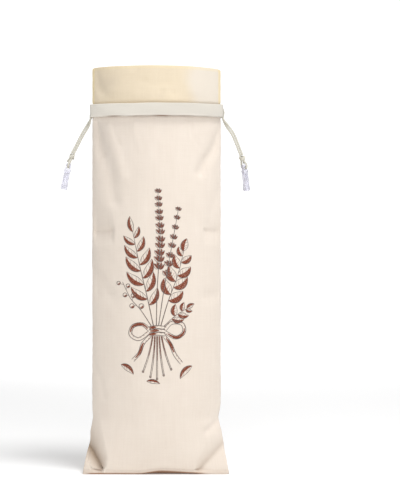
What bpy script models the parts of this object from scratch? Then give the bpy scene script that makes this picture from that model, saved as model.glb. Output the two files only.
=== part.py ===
"""Drawstring bread bag in natural cotton, standing open and full-shaped.

Two cotton panels are sewn together at the sides and at the bottom, where the sewn edge runs
along the front and the back panel folds under as the base. A cream cuff stands in the mouth.
A strip of tape round the neck, in front and behind, is the channel for two drawstrings. Each
drawstring leaves at one side with two ends, tied in a knot that carries a clear pull.

Front is -Y, up is +Z, and the origin lies on the floor under the middle of the bag.
The tables and named sizes are in millimetres.
"""
import math
from collections import namedtuple

import bmesh
import bpy
from mathutils import Matrix, Vector

MM = 0.001

# Cloth
GAP = 0.3                   # clearance between pieces that touch
BODY_WALL = 1.3
CUFF_WALL = 1.2
TAPE_WALL = 1.0
ROUNDNESS = 2.3             # power of the rounded share of the bag's section
FULL_ROUND = 0.4            # rounded share of the section where the bag is full
FULL_HALF = 89.0            # half the bag's width where it is full
FOLD_FADE = 8.0             # folds die out over this distance to a side seam or the tape
AROUND = 48                 # faces round the bag
SHARP = math.radians(40)    # edges that turn more than this are drawn sharp

# Heights
BODY_TOP = 503.6            # hidden behind the top of the tape
CUFF_SPREAD = 509.0         # the cuff has the bag's full width from here up
RIM = 556.0
RIM_DROP_RIGHT = 2.0        # the rim's right corner hangs a little
RIM_CORNER_DROP = 1.2       # and both corners are soft
RIM_CORNER_WIDTH = 3.0
CUFF_FOOT = 474.0
TAPE_FOOT = 488.0
TAPE_TOP = 506.0
TAPE_HEIGHT = TAPE_TOP - TAPE_FOOT
TAPE_SAG = 1.5              # the tape dips between the side seams
TAPE_HEM = 1.6              # sewn down over this height at both edges
TAPE_SHOULDER = 3.0         # and clear of the drawstring from this height
TAPE_FLAT = 2.0             # its face is flat from this height
TAPE_ROUND = (0.9, 0.7)     # and its corner lies this far back and up
TAPE_STEP = 7.0             # spacing of its sections
TAPE_SPREAD_LEFT = 0.5      # and its raised middle gapes at the channel's mouths
TAPE_SPREAD_RIGHT = 0.9
TAPE_SPREAD_STEPS = 3
HEM_SPREAD = 0.2            # the hem's share of that spread

# Drawstrings
CORD = 2.7
CORD_LOW = 494.6            # height of the left drawstring in the channels
CORD_HIGH = 500.2           # height of the right drawstring in the channels
MOUTH = 5.0                 # the channels end this far before and behind a side seam
BRIDGE_RISE = 0.4           # a drawstring stands off the side seam that it goes round
RUN_STEP = 3.5              # spacing of a drawstring's points in the channels
STRAND_STEP = 4.8           # on the free ends
KNOT_STEP = 1.9             # and in the knots
NECK_STEPS = 720            # places tried on half the neck
SEAM_TUCK = 2.6             # the side seams are drawn in between the channels' mouths
TUCK_FOOT = 491.0           # over this height, and less over TUCK_FADE below and above
TUCK_TOP = 501.5
TUCK_FADE = 7.0
TUCK_WIDTH = 3.4

# Bottom
EDGE_LIFT = 0.6             # the sewn bottom edge over the floor
EDGE_RISE = 15.0            # its wave dies out over this height
BASE_INSET = 7.0
BASE_THICKNESS = 1.5
INNER_FLOOR_INSET = 11.0

Level = namedtuple("Level", "z left right front back seam round")
LEVELS = (
    Level(0.0, 100.0, 100.0, -28.0, 31.0, -28.0, 0.00),
    Level(10.0, 98.5, 98.0, -32.2, 35.0, -26.0, 0.02),
    Level(20.0, 96.6, 96.2, -35.0, 37.6, -22.5, 0.05),
    Level(30.0, 94.8, 94.2, -37.0, 39.4, -19.0, 0.08),
    Level(42.0, 91.8, 92.6, -38.5, 40.6, -14.0, 0.14),
    Level(55.0, 91.4, 90.4, -39.6, 41.2, -9.5, 0.20),
    Level(65.0, 89.6, 87.9, -40.3, 41.6, -6.0, 0.26),
    Level(75.0, 88.1, 85.8, -40.8, 41.9, -3.0, 0.31),
    Level(90.0, 89.0, 88.5, -41.4, 42.0, -0.6, 0.36),
    Level(120.0, FULL_HALF, FULL_HALF, -42.0, 42.0, 0.0, FULL_ROUND),
    Level(300.0, FULL_HALF, FULL_HALF, -42.0, 42.0, 0.0, FULL_ROUND),
    Level(480.0, FULL_HALF, FULL_HALF, -40.0, 40.0, 0.0, FULL_ROUND),
    Level(510.0, FULL_HALF, FULL_HALF, -40.0, 40.0, 0.0, FULL_ROUND),
    Level(556.0, FULL_HALF, FULL_HALF, -38.0, 38.0, 0.0, FULL_ROUND),
)

# A fold is a soft trough along a path of (x, z); a negative depth is a ridge.
Fold = namedtuple("Fold", "side depth width path")
FOLDS = (
    Fold("front", 4.4, 8.0, ((-88, 482), (-82, 462), (-74, 438))),
    Fold("front", 2.6, 9.0, ((-69, 424), (-62, 400), (-57, 372))),
    Fold("front", -1.6, 8.0, ((-64, 474), (-56, 446), (-45, 405))),
    Fold("front", 3.8, 7.0, ((88, 463), (78, 441), (68, 427), (61, 412))),
    Fold("front", 2.2, 12.0, ((-80, 248), (-64, 246))),
    Fold("front", 2.2, 10.0, ((84, 243), (70, 241))),
    Fold("front", 2.6, 5.0, ((83, 68), (69, 57))),
    Fold("front", -0.8, 2.2, ((-97, 2.4), (97, 2.4))),
    Fold("back", 2.6, 12.0, ((-72, 446), (-60, 400), (-52, 352))),
    Fold("back", 2.2, 12.0, ((76, 322), (62, 268), (56, 226))),
    Fold("back", 2.0, 15.0, ((12, 132), (4, 84), (-10, 48))),
    Fold("back", 4.0, 8.0, ((90, 46), (74, 30), (56, 18))),
    Fold("back", 4.4, 8.0, ((-92, 42), (-76, 27), (-60, 16))),
)

# A flat-sided fold on the front deepens from its ridge, drawn from the top down, to its valley,
# and rises again within its reach beyond. At the bottom corners the back follows it as an ear.
Facet = namedtuple("Facet", "depth reach ridge valley")
FACETS = (
    Facet(6.5, 20.0, ((-93, 384), (-74, 378), (-60, 362), (-57, 338)),
          ((-95, 333), (-74, 330), (-58, 334))),
    Facet(4.5, 20.0, ((93, 392), (78, 380), (66, 358), (64, 336)),
          ((95, 334), (80, 331), (64, 333))),
    Facet(13.0, 15.0, ((-80, 94), (-72, 53), (-64.5, 21), (-66.5, 11), (-72.5, 5)),
          ((-97, 42), (-91, 34.5), (-82, 22), (-72.5, 6.5))),
    Facet(8.0, 20.0, ((84, 62), (66, 38), (54, 18), (53, 8)),
          ((95, 43), (86.8, 35), (73, 21), (60, 7.5))),
)
FACET_STEEPER = 0.4         # share of a facet's depth that comes close to the valley
RIDGE_WIDTH = 2.5
RIDGE_TOP_FADE = 30.0       # facets grow from nothing over this height under their top
FACET_FOOT_FADE = 6.0
EAR = 16.0                  # the back follows over this distance from the side seam
EAR_TOP = 110.0
EAR_FADE = 20.0

# Rise of the sewn bottom edge over the floor, along the front.
Wave = namedtuple("Wave", "x lift")
EDGE_WAVE = (
    Wave(-20.0, 0.0),
    Wave(0.0, 3.0),
    Wave(8.0, 3.5),
    Wave(22.0, 2.9),
    Wave(45.0, 1.4),
    Wave(75.0, 0.0),
)

WALL_HEIGHTS = (
    8.0, 15.0, 24.0, 34.0, 45.0, 57.0, 70.0, 84.0, 100.0, 125.0, 155.0, 185.0, 215.0, 240.0,
    262.0, 288.0, 312.0, 326.0, 334.0, 347.0, 362.0, 378.0, 394.0, 412.0, 430.0, 446.0, 460.0,
    CUFF_FOOT,
    484.0, 495.0, BODY_TOP,
)
SEAM_HEIGHTS = (EDGE_LIFT, 3.4)
CUFF_HEIGHTS = (CUFF_FOOT, 484.0, 495.0, BODY_TOP, 506.2, CUFF_SPREAD, 524.0, 541.0, 551.0, RIM)

# Middle of the two free ends, from the channel's mouth to the knot. Apart is half the distance
# between the two, and turn is how far the pair has turned, in degrees, from one behind the other
# to side by side.
Route = namedtuple("Route", "x z apart turn")
LEFT_ROUTE = (
    Route(-91.0, 486.5, 1.75, 0.0),
    Route(-94.6, 477.5, 1.8, 60.0),
    Route(-102.7, 463.7, 1.62, 90.0),
    Route(-110.4, 448.6, 1.57, 90.0),
    Route(-116.0, 438.1, 1.5, 90.0),
)
RIGHT_ROUTE = (
    Route(91.9, 486.5, 1.75, 0.0),
    Route(97.6, 476.6, 1.8, 60.0),
    Route(105.2, 465.7, 1.62, 90.0),
    Route(110.6, 453.4, 1.57, 90.0),
    Route(117.3, 435.8, 1.5, 90.0),
)

# Where the strand behind passes on its way out of the channel; the one in front mirrors it.
LEFT_LEAD = ((-89.5, 5.1, 493.4), (-90.9, 2.8, 490.4))
RIGHT_LEAD = ((89.8, 5.2, 500.1), (91.7, 3.2, 498.9), (92.6, 2.1, 494.4))

# Clear pull, seen on its face, down from its top: half-width at each height under the eye.
PULL_THICKNESS = 5.0
PULL_WEB = 1.0
Outline = namedtuple("Outline", "half z")
PULL_OUTLINE = (
    Outline(2.4, 4.2),
    Outline(3.3, 3.6),
    Outline(3.5, 2.8),
    Outline(3.5, -3.4),
    Outline(4.5, -3.9),
    Outline(4.5, -6.4),
    Outline(3.9, -7.0),
    Outline(4.1, -23.6),
    Outline(4.5, -26.0),
    Outline(4.6, -30.0),
    Outline(4.2, -31.6),
    Outline(3.2, -32.3),
)
EYE_HALF_WIDTH = 2.1
EYE_TOP = 1.5
EYE_FOOT = -3.1
WINDOW_HALF = 2.3
WINDOW_TOP = -8.6
WINDOW_FOOT = -22.6
EYE_STEPS = 6               # sides of each round end

# Knot and its loop, in the frame of the pull's eye: x across, y through the eye, z up.
LOOP_TOP = 12.0
LOOP_STAYS = 2.0            # under this height the loop stays in the eye's frame
LOOP_HALF = ((1.2, LOOP_TOP), (2.9, 8.6), (4.5, 4.6), (4.6, 1.6), (3.5, -0.4), (1.4, -1.0))
KNOT_CORE = (3.1, 2.9, 3.6)
KNOT_RING = 2.3
KNOT_TURNS = ((14.0, 1.3), (-20.0, -1.4))    # lean in degrees and rise over the knot's middle
TAIL_DIAMETER = 2.8
TAIL_BEND = (0.0, -0.8, 0.6)

# Place of each pull's eye, lean in the picture plane, turn about its own length, and where the
# knot's middle and the end of the cut tail lie in its frame.
Hang = namedtuple("Hang", "x z lean turn knot tail")
LEFT_HANG = Hang(-121.9, 420.4, 11.5, 0.0, (2.2, 0.0, 14.4), (-2.6, -1.0, 6.6))
RIGHT_HANG = Hang(121.2, 418.9, -6.0, 48.0, (-1.1, 1.2, 12.8), (3.2, 2.4, 6.6))


def reset_scene():
    for old in list(bpy.data.objects):
        bpy.data.objects.remove(old)


def new_collection(name):
    collection = bpy.data.collections.new(name)
    bpy.context.scene.collection.children.link(collection)
    return collection


def material(name, colour, roughness, transmission=0.0):
    made = bpy.data.materials.new(name)
    made.use_nodes = True
    shader = made.node_tree.nodes["Principled BSDF"]
    shader.inputs["Base Color"].default_value = (*colour, 1.0)
    shader.inputs["Roughness"].default_value = roughness
    shader.inputs["Metallic"].default_value = 0.0
    shader.inputs["Transmission Weight"].default_value = transmission
    return made


def add_object(name, mesh, finish, collection):
    obj = bpy.data.objects.new(name, mesh)
    obj.data.materials.clear()
    obj.data.materials.append(finish)
    collection.objects.link(obj)
    return obj


def ease(t):
    """0 to 1 with a soft start and end."""
    t = min(max(t, 0.0), 1.0)
    return t * t * (3.0 - 2.0 * t)


def smooth_through(knots, values, at):
    """Value at a place on a smooth line through a table's points."""
    last = len(knots) - 1
    if at <= knots[0]:
        return values[0]
    if at >= knots[last]:
        return values[last]
    i = max(k for k in range(last) if knots[k] <= at)

    def slope(k):
        low, high = max(k - 1, 0), min(k + 1, last)
        return (values[high] - values[low]) / (knots[high] - knots[low])

    step = knots[i + 1] - knots[i]
    t = (at - knots[i]) / step
    rise = values[i + 1] - values[i]
    return (values[i] + rise * t * t * (3 - 2 * t)
            + step * (slope(i) * t * (1 - t) ** 2 - slope(i + 1) * t * t * (1 - t)))


def level_at(z):
    heights = [level.z for level in LEVELS]
    return Level(*(smooth_through(heights, [level[c] for level in LEVELS], z)
                   for c in range(len(Level._fields))))


def tip_share(level):
    """How much deeper a wall's inner face starts at a pinched side seam than at a round one."""
    return 1.0 + 2.0 * (1.0 - min(level.round / FULL_ROUND, 1.0))


def section_point(angle, z, inset=0.0):
    """Point of the bag's section: angle 0 is the right seam, 90 degrees the back's middle."""
    level = level_at(z)
    side, way = math.cos(angle), math.sin(angle)
    reach = math.copysign(abs(side) ** (2 / ROUNDNESS), side)
    bow = level.round * abs(way) ** (2 / ROUNDNESS) + (1 - level.round) * (1 - reach * reach)
    lean = (level.seam - level.front) / (level.back - level.front)
    seam = level.seam + inset * (1 - 2 * lean)
    middle = level.back - inset if way > 0 else level.front + inset
    half = (level.right if side > 0 else level.left) - inset * tip_share(level)
    y = seam + (middle - seam) * bow
    tuck = SEAM_TUCK * ease(1 - max(TUCK_FOOT - z, z - TUCK_TOP, 0.0) / TUCK_FADE)
    tuck *= math.exp(-((y - seam) / TUCK_WIDTH) ** 2)
    return Vector((reach * half - math.copysign(tuck, side), y, 0.0))


def section_normal(angle, z):
    step = 0.01
    along = section_point(angle + step, z) - section_point(angle - step, z)
    return Vector((along.y, -along.x, 0.0)).normalized()


def path_distance(path, x, z):
    """Shortest way from a place on the cloth to a fold's path."""
    place = Vector((x, z))
    best = math.inf
    for start, end in zip(path, path[1:]):
        start, end = Vector(start), Vector(end)
        run = end - start
        t = min(max((place - start).dot(run) / run.length_squared, 0.0), 1.0)
        best = min(best, (start + run * t - place).length)
    return best


def side_edge(x, z):
    """How far a place on the cloth is from the nearer side seam, seen from the front."""
    level = level_at(z)
    return (level.right if x > 0 else level.left) - abs(x)


def fold_depth(way, x, z):
    side = "back" if way > 0 else "front"
    depth = sum(fold.depth * math.exp(-(path_distance(fold.path, x, z) / fold.width) ** 2)
                for fold in FOLDS if fold.side == side)
    return depth * ease(side_edge(x, z) / FOLD_FADE) * ease((TAPE_FOOT - z) / FOLD_FADE)


def across_path(path, at, axis):
    """Where a path lies across from a place on the given axis, held at its two ends."""
    path = sorted(path, key=lambda point: point[axis])
    if at <= path[0][axis]:
        return path[0][1 - axis]
    for low, high in zip(path, path[1:]):
        if at <= high[axis]:
            t = (at - low[axis]) / (high[axis] - low[axis])
            return low[1 - axis] + (high[1 - axis] - low[1 - axis]) * t
    return path[-1][1 - axis]


def facet_depth(facet, x, z):
    middle = [sum(point[0] for point in path) / len(path) for path in (facet.ridge, facet.valley)]
    hand = math.copysign(1.0, middle[1] - middle[0])
    beyond = hand * (x - across_path(facet.ridge, z, 1))
    from_valley = path_distance(facet.valley, x, z)
    if z > across_path(facet.valley, x, 0):
        from_ridge = path_distance(facet.ridge, x, z)
        slope = from_ridge / (from_ridge + from_valley) if from_valley else 1.0
        part = (1 - FACET_STEEPER) * slope + FACET_STEEPER * slope ** 3
    else:
        part = max(1 - from_valley / facet.reach, 0.0)
    part *= ease(beyond / RIDGE_WIDTH) * ease((facet.ridge[0][1] - z) / RIDGE_TOP_FADE)
    return facet.depth * part * ease(z / FACET_FOOT_FADE)


def facet_push(way, x, z):
    """How far the flat-sided folds push the cloth back."""
    low = ease((EAR_TOP - z) / EAR_FADE)
    edge = side_edge(x, z)
    share = low * (1 - ease(edge / EAR)) if way > 0 else low + (1 - low) * ease(edge / FOLD_FADE)
    return share * sum(facet_depth(facet, x, z) for facet in FACETS)


def cloth_point(angle, z, inset=0.0):
    """Point of the folded cloth, inset from its outer face."""
    outer = section_point(angle, z)
    way = math.sin(angle)
    point = section_point(angle, z, inset) - section_normal(angle, z) * fold_depth(way, outer.x, z)
    point.y += facet_push(way, outer.x, z)
    point.z = z
    return point


def placed_grid(columns, rows, place):
    """Grid of faces whose points a rule places, closed where its edges meet, its ends filled."""
    bm = bmesh.new()
    bmesh.ops.create_grid(bm, x_segments=columns, y_segments=rows, size=1.0)
    for vert in bm.verts:
        column = round((vert.co.x + 1) / 2 * columns)
        row = round((vert.co.y + 1) / 2 * rows)
        vert.co = place(column, row) * MM
    bmesh.ops.remove_doubles(bm, verts=bm.verts, dist=0.00002)
    open_edges = [edge for edge in bm.edges if edge.is_boundary]
    bmesh.ops.holes_fill(bm, edges=open_edges, sides=0)
    bmesh.ops.recalc_face_normals(bm, faces=bm.faces)
    return bm


def mesh_from(bm, name):
    mesh = bpy.data.meshes.new(name)
    bm.to_mesh(mesh)
    bm.free()
    mesh.shade_smooth()
    mesh.set_sharp_from_angle(angle=SHARP)
    return mesh


def edge_lift(x, way):
    if way > 0:
        return 0.0
    return smooth_through([w.x for w in EDGE_WAVE], [w.lift for w in EDGE_WAVE], x)


def make_body(finish, collection):
    """The bag as one folded sheet: inner floor, inner wall, top edge, outer wall and base."""
    Row = namedtuple("Row", "z level inset")
    inner = [Row(z, z, BODY_WALL) for z in WALL_HEIGHTS]
    outer = [Row(z, z, 0.0) for z in SEAM_HEIGHTS + WALL_HEIGHTS]
    rows = ([Row(BASE_THICKNESS, BASE_THICKNESS, INNER_FLOOR_INSET)] + inner
            + outer[::-1] + [Row(0.0, 0.0, BASE_INSET)])
    edge_row = len(rows) - 2

    def place(column, row):
        angle = 2 * math.pi * (column % AROUND) / AROUND
        spot = rows[row]
        if spot.z in (BASE_THICKNESS, 0.0):
            point = section_point(angle, spot.level, spot.inset)
            point.z = spot.z
            return point
        if row == edge_row:
            point = cloth_point(angle, 0.0)
            point.z = spot.z
        else:
            point = cloth_point(angle, spot.level, spot.inset)
        lift = edge_lift(point.x, math.sin(angle))
        point.z += lift * ease(1 - (spot.z - EDGE_LIFT) / EDGE_RISE)
        return point

    bm = placed_grid(AROUND, len(rows) - 1, place)
    return add_object("bag_body", mesh_from(bm, "bag_body"), finish, collection)


def cuff_inset(z):
    """The cuff stands inside the bag's wall, and spreads to the bag's width over the tape."""
    return (BODY_WALL + GAP) * ease((CUFF_SPREAD - z) / (CUFF_SPREAD - BODY_TOP))


def rim_drop(x, z):
    """Fall of the rim at its corners, spread over the cuff's height."""
    share = ease((z - TAPE_TOP) / (RIM - TAPE_TOP))
    corner = RIM_CORNER_DROP * math.exp(-((FULL_HALF - abs(x)) / RIM_CORNER_WIDTH) ** 2)
    right = RIM_DROP_RIGHT * max(x / FULL_HALF, 0.0) ** 2
    return (corner + right) * share


def make_cuff(finish, collection):
    heights = CUFF_HEIGHTS
    rows = [(z, cuff_inset(z)) for z in heights]
    rows += [(z, cuff_inset(z) + CUFF_WALL) for z in reversed(heights)]
    rows.append(rows[0])

    def place(column, row):
        z, inset = rows[row]
        point = cloth_point(2 * math.pi * (column % AROUND) / AROUND, z, inset)
        point.z -= rim_drop(point.x, z)
        return point

    bm = placed_grid(AROUND, len(rows) - 1, place)
    return add_object("collar", mesh_from(bm, "collar"), finish, collection)


def neck_track(way, mouth, spacing):
    """Places along the neck from the right mouth to the left, with the way out of the cloth."""
    z = 0.5 * (TAPE_FOOT + TAPE_TOP)
    fine = [way * math.pi * k / NECK_STEPS for k in range(NECK_STEPS + 1)]
    fine = [a for a in fine if abs(section_point(a, z).y) >= mouth]
    points = [section_point(a, z) for a in fine]
    lengths = [0.0]
    for before, after in zip(points, points[1:]):
        lengths.append(lengths[-1] + (after - before).length)
    steps = max(2, round(lengths[-1] / spacing))
    track = []
    for k in range(steps + 1):
        target = lengths[-1] * k / steps
        near = min(range(len(fine)), key=lambda i: abs(lengths[i] - target))
        track.append((points[near], section_normal(fine[near], z)))
    return track


def tape_dip(x):
    return TAPE_SAG * (1 - (x / FULL_HALF) ** 2)


def make_tape(name, way, finish, collection):
    """A strip sewn down along both edges, raised between them over the drawstrings."""
    track = neck_track(way, MOUTH, TAPE_STEP)
    lift = GAP + CORD + GAP
    face = lift + TAPE_WALL
    back, up = TAPE_ROUND
    lower = ((GAP, 0.0), (GAP + TAPE_WALL, 0.0), (face - back, up), (face, TAPE_FLAT))
    upper = tuple((away, TAPE_HEIGHT - z) for away, z in reversed(lower))
    loop = lower + ((face, TAPE_HEIGHT / 2),) + upper + (
        (GAP, TAPE_HEIGHT - TAPE_HEM), (lift, TAPE_HEIGHT - TAPE_SHOULDER),
        (lift, TAPE_SHOULDER), (GAP, TAPE_HEM))

    def place(column, row):
        point, out = track[column]
        away, z = loop[row % len(loop)]
        near_end = min(column, len(track) - 1 - column) / TAPE_SPREAD_STEPS
        spread = TAPE_SPREAD_RIGHT if point.x > 0 else TAPE_SPREAD_LEFT
        spread *= ease(1 - near_end) * (HEM_SPREAD + (1 - HEM_SPREAD) * away / face)
        point = point + out * (away + spread)
        point.z = TAPE_FOOT + z - tape_dip(point.x)
        return point

    bm = placed_grid(len(track) - 1, len(loop), place)
    return add_object(name, mesh_from(bm, name), finish, collection)


def smooth_route(points, spacing):
    """Evenly spaced points on a smooth curve through a route's points."""
    points = [Vector(p) for p in points]
    lengths = [0.0]
    for before, after in zip(points, points[1:]):
        lengths.append(lengths[-1] + (after - before).length)

    def at(length):
        return Vector(smooth_through(lengths, [p[axis] for p in points], length)
                      for axis in range(3))

    steps = max(3, round(lengths[-1] / spacing))
    return [at(lengths[-1] * k / steps) for k in range(steps + 1)]


def make_cord(name, points, diameter, finish, collection):
    curve = bpy.data.curves.new(name, "CURVE")
    curve.dimensions = "3D"
    curve.bevel_depth = diameter * MM / 2
    curve.bevel_resolution = 2
    curve.use_fill_caps = True
    spline = curve.splines.new("POLY")
    spline.points.add(len(points) - 1)
    for target, point in zip(spline.points, points):
        target.co = (*(point * MM), 1.0)
    return add_object(name, curve, finish, collection)


def channel_point(track_point, z):
    """Middle of a drawstring in the channel, beside the cloth."""
    point, out = track_point
    over_seam = BRIDGE_RISE * ease(1 - abs(point.y) / (2 * MOUTH))
    place = point + out * (GAP + CORD / 2 + over_seam)
    place.z = z - tape_dip(place.x)
    return place


def make_run(name, home, z, finish, collection):
    """The stretch of a drawstring inside both channels, from its own side round the other."""
    front = neck_track(-1, 0.0, RUN_STEP)
    back = neck_track(1, 0.0, RUN_STEP)
    if home == "left":
        around = front[::-1] + back[1:]
    else:
        around = front + back[::-1][1:]
    far_side = 1 if home == "left" else -1
    kept = [p for p in around if abs(p[0].y) >= MOUTH or p[0].x * far_side > 0]
    points = [channel_point(p, z) for p in kept][2:-2]
    last = len(points) - 1
    thinned = [p for k, p in enumerate(points) if k % 2 == 0 or abs(p.y) < 4 * CORD or k == last]
    make_cord(name, thinned, CORD, finish, collection)
    return points[0], points[last]


def pair_points(route, sign):
    """One strand of a pair of free ends: sign -1 starts in front, +1 behind."""
    middle = [Vector((r.x, 0.0, r.z)) for r in route]
    points = []
    for k, row in enumerate(route):
        along = (middle[min(k + 1, len(route) - 1)] - middle[max(k - 1, 0)]).normalized()
        across = Vector((0.0, 1.0, 0.0)).cross(along)
        turn = math.radians(row.turn)
        apart = Vector((0.0, 1.0, 0.0)) * math.cos(turn) + across * math.sin(turn)
        points.append(middle[k] + apart * sign * row.apart)
    return points


def make_strand(name, run_end, lead, route, sign, finish, collection):
    """A free end: out of the channel's mouth, down past the tape and out to the knot."""
    lead = [Vector((x, y * sign, z)) for x, y, z in lead]
    start = run_end + (lead[0] - run_end).normalized() * 2 * GAP
    points = smooth_route([start] + lead + pair_points(route, sign), STRAND_STEP)
    return make_cord(name, points, CORD, finish, collection)


def hang_matrix(hang):
    """Frame of a pull's eye: x across its face, z up along it."""
    place = Matrix.Translation(Vector((hang.x, 0.0, hang.z)) * MM)
    return (place @ Matrix.Rotation(math.radians(hang.lean), 4, "Y")
            @ Matrix.Rotation(math.radians(hang.turn), 4, "Z"))


def helper(obj, cutters):
    """Keep an object only as the other half of a Boolean."""
    for collection in list(obj.users_collection):
        collection.objects.unlink(obj)
    cutters.objects.link(obj)
    obj.hide_render = True
    obj.display_type = "WIRE"
    return obj


def combine(obj, other, operation):
    step = obj.modifiers.new(other.name, "BOOLEAN")
    step.operation = operation
    step.object = other


def curve_as_mesh(curve_object, cutters):
    """A closed mesh with the shape of a curve object, for a Boolean."""
    depsgraph = bpy.context.evaluated_depsgraph_get()
    mesh = bpy.data.meshes.new_from_object(curve_object.evaluated_get(depsgraph))
    bm = bmesh.new()
    bm.from_mesh(mesh)
    bmesh.ops.remove_doubles(bm, verts=bm.verts, dist=0.00001)
    bmesh.ops.recalc_face_normals(bm, faces=bm.faces)
    bm.to_mesh(mesh)
    bm.free()
    name = curve_object.name
    made = bpy.data.objects.new(name + "_mesh", mesh)
    made.matrix_world = curve_object.matrix_world.copy()
    bpy.data.objects.remove(curve_object)
    return helper(made, cutters)


def make_knot(name, hang, finish, collection, cutters):
    """Two crossed turns over a core, the loop through the pull's eye and a cut tail."""
    frame = hang_matrix(hang)
    heart = Vector(hang.knot)
    bm = bmesh.new()
    bmesh.ops.create_uvsphere(bm, u_segments=12, v_segments=8, radius=1.0)
    bmesh.ops.scale(bm, vec=Vector(KNOT_CORE) * MM, verts=bm.verts)
    bmesh.ops.translate(bm, vec=heart * MM, verts=bm.verts)
    knot = add_object(name, mesh_from(bm, name), finish, collection)
    knot.matrix_world = frame
    for number, (lean, rise) in enumerate(KNOT_TURNS):
        bpy.ops.mesh.primitive_torus_add(
            major_radius=KNOT_RING * MM, minor_radius=CORD * MM / 2,
            major_segments=14, minor_segments=8)
        ring = bpy.context.active_object
        ring.name = f"{name}_turn_{number + 1}"
        place = Matrix.Translation((heart + Vector((0.0, 0.0, rise))) * MM)
        ring.matrix_world = frame @ place @ Matrix.Rotation(math.radians(lean), 4, "Y")
        combine(knot, helper(ring, cutters), "UNION")
    shift = Vector((heart.x, heart.y, heart.z - LOOP_TOP))
    half = [(y, z, shift * ease((z - LOOP_STAYS) / (LOOP_TOP - LOOP_STAYS)))
            for y, z in LOOP_HALF]
    loop = [Vector((0.0, -y, z)) + move for y, z, move in half]
    loop += [Vector((0.0, y, z)) + move for y, z, move in reversed(half)]
    tail_end = Vector(hang.tail)
    tail = [heart, (heart + tail_end) / 2 + Vector(TAIL_BEND), tail_end]
    for part, route, diameter in (("loop", loop, CORD), ("tail", tail, TAIL_DIAMETER)):
        curve = make_cord(f"{name}_{part}", smooth_route(route, KNOT_STEP), diameter, finish, cutters)
        curve.matrix_world = frame
        bpy.context.view_layer.update()
        combine(knot, curve_as_mesh(curve, cutters), "UNION")
    return knot


def flat_outline(name, loops, thickness, finish, collection):
    """A plate with its outline and holes drawn in x and z, its thickness along y."""
    curve = bpy.data.curves.new(name, "CURVE")
    curve.dimensions = "2D"
    curve.fill_mode = "BOTH"
    curve.extrude = thickness * MM / 2
    for loop in loops:
        spline = curve.splines.new("POLY")
        spline.points.add(len(loop) - 1)
        for target, (x, z) in zip(spline.points, loop):
            target.co = (x * MM, z * MM, 0.0, 1.0)
        spline.use_cyclic_u = True
    return add_object(name, curve, finish, collection)


def eye_loop():
    """The eye: straight sides with round ends."""
    radius = EYE_HALF_WIDTH
    middles = (EYE_TOP - radius, EYE_FOOT + radius)
    points = []
    for start, z in ((0.0, middles[0]), (math.pi, middles[1])):
        for k in range(EYE_STEPS + 1):
            angle = start + math.pi * k / EYE_STEPS
            points.append((radius * math.cos(angle), z + radius * math.sin(angle)))
    return points


def make_pull(name, hang, finish, collection, cutters):
    right = [(p.half, p.z) for p in PULL_OUTLINE]
    left = [(-p.half, p.z) for p in reversed(PULL_OUTLINE)]
    curve = flat_outline(f"{name}_plate", (right + left, eye_loop()), PULL_THICKNESS, finish, cutters)
    bpy.context.view_layer.update()
    plate = curve_as_mesh(curve, cutters)
    pull = add_object(name, plate.data.copy(), finish, collection)
    bpy.data.objects.remove(plate)
    frame = hang_matrix(hang) @ Matrix.Rotation(math.radians(90), 4, "X")
    pull.matrix_world = frame
    depth = (PULL_THICKNESS - PULL_WEB) / 2
    size = Vector((2 * WINDOW_HALF, WINDOW_TOP - WINDOW_FOOT, 2 * depth))
    for side in (-1, 1):
        bm = bmesh.new()
        bmesh.ops.create_cube(bm, size=1.0)
        bmesh.ops.scale(bm, vec=size * MM, verts=bm.verts)
        centre = Vector((0.0, (WINDOW_TOP + WINDOW_FOOT) / 2, side * PULL_THICKNESS / 2))
        bmesh.ops.translate(bm, vec=centre * MM, verts=bm.verts)
        window = add_object(f"{name}_window_{side + 2}", mesh_from(bm, "window"), finish, cutters)
        window.matrix_world = frame
        combine(pull, helper(window, cutters), "DIFFERENCE")
    return pull


def build():
    reset_scene()
    bag = new_collection("bread_bag")
    cutters = new_collection("cutters")
    cotton = material("natural_cotton", (0.84, 0.77, 0.67), 0.9)
    cream = material("cream_cotton", (0.86, 0.76, 0.58), 0.9)
    tape = material("tape_cotton", (0.80, 0.76, 0.68), 0.85)
    string = material("drawstring_cotton", (0.72, 0.69, 0.56), 0.85)
    clear = material("clear_plastic", (0.90, 0.89, 0.96), 0.15, 0.85)

    make_body(cotton, bag)
    make_cuff(cream, bag)
    make_tape("casing_front", -1, tape, bag)
    make_tape("casing_back", 1, tape, bag)
    for side, z, lead, route, hang in (
            ("left", CORD_LOW, LEFT_LEAD, LEFT_ROUTE, LEFT_HANG),
            ("right", CORD_HIGH, RIGHT_LEAD, RIGHT_ROUTE, RIGHT_HANG)):
        front_end, back_end = make_run(f"drawstring_{side}", side, z, string, bag)
        make_strand(f"strand_{side}_front", front_end, lead, route, -1, string, bag)
        make_strand(f"strand_{side}_back", back_end, lead, route, 1, string, bag)
        make_knot(f"knot_{side}", hang, string, bag, cutters)
        make_pull(f"pull_{side}", hang, clear, bag, cutters)


build()
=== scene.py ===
import math
from collections import namedtuple
from functools import partial

import bmesh
import bpy
import numpy as np
from mathutils import Matrix, Vector
from mathutils.bvhtree import BVHTree


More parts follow.
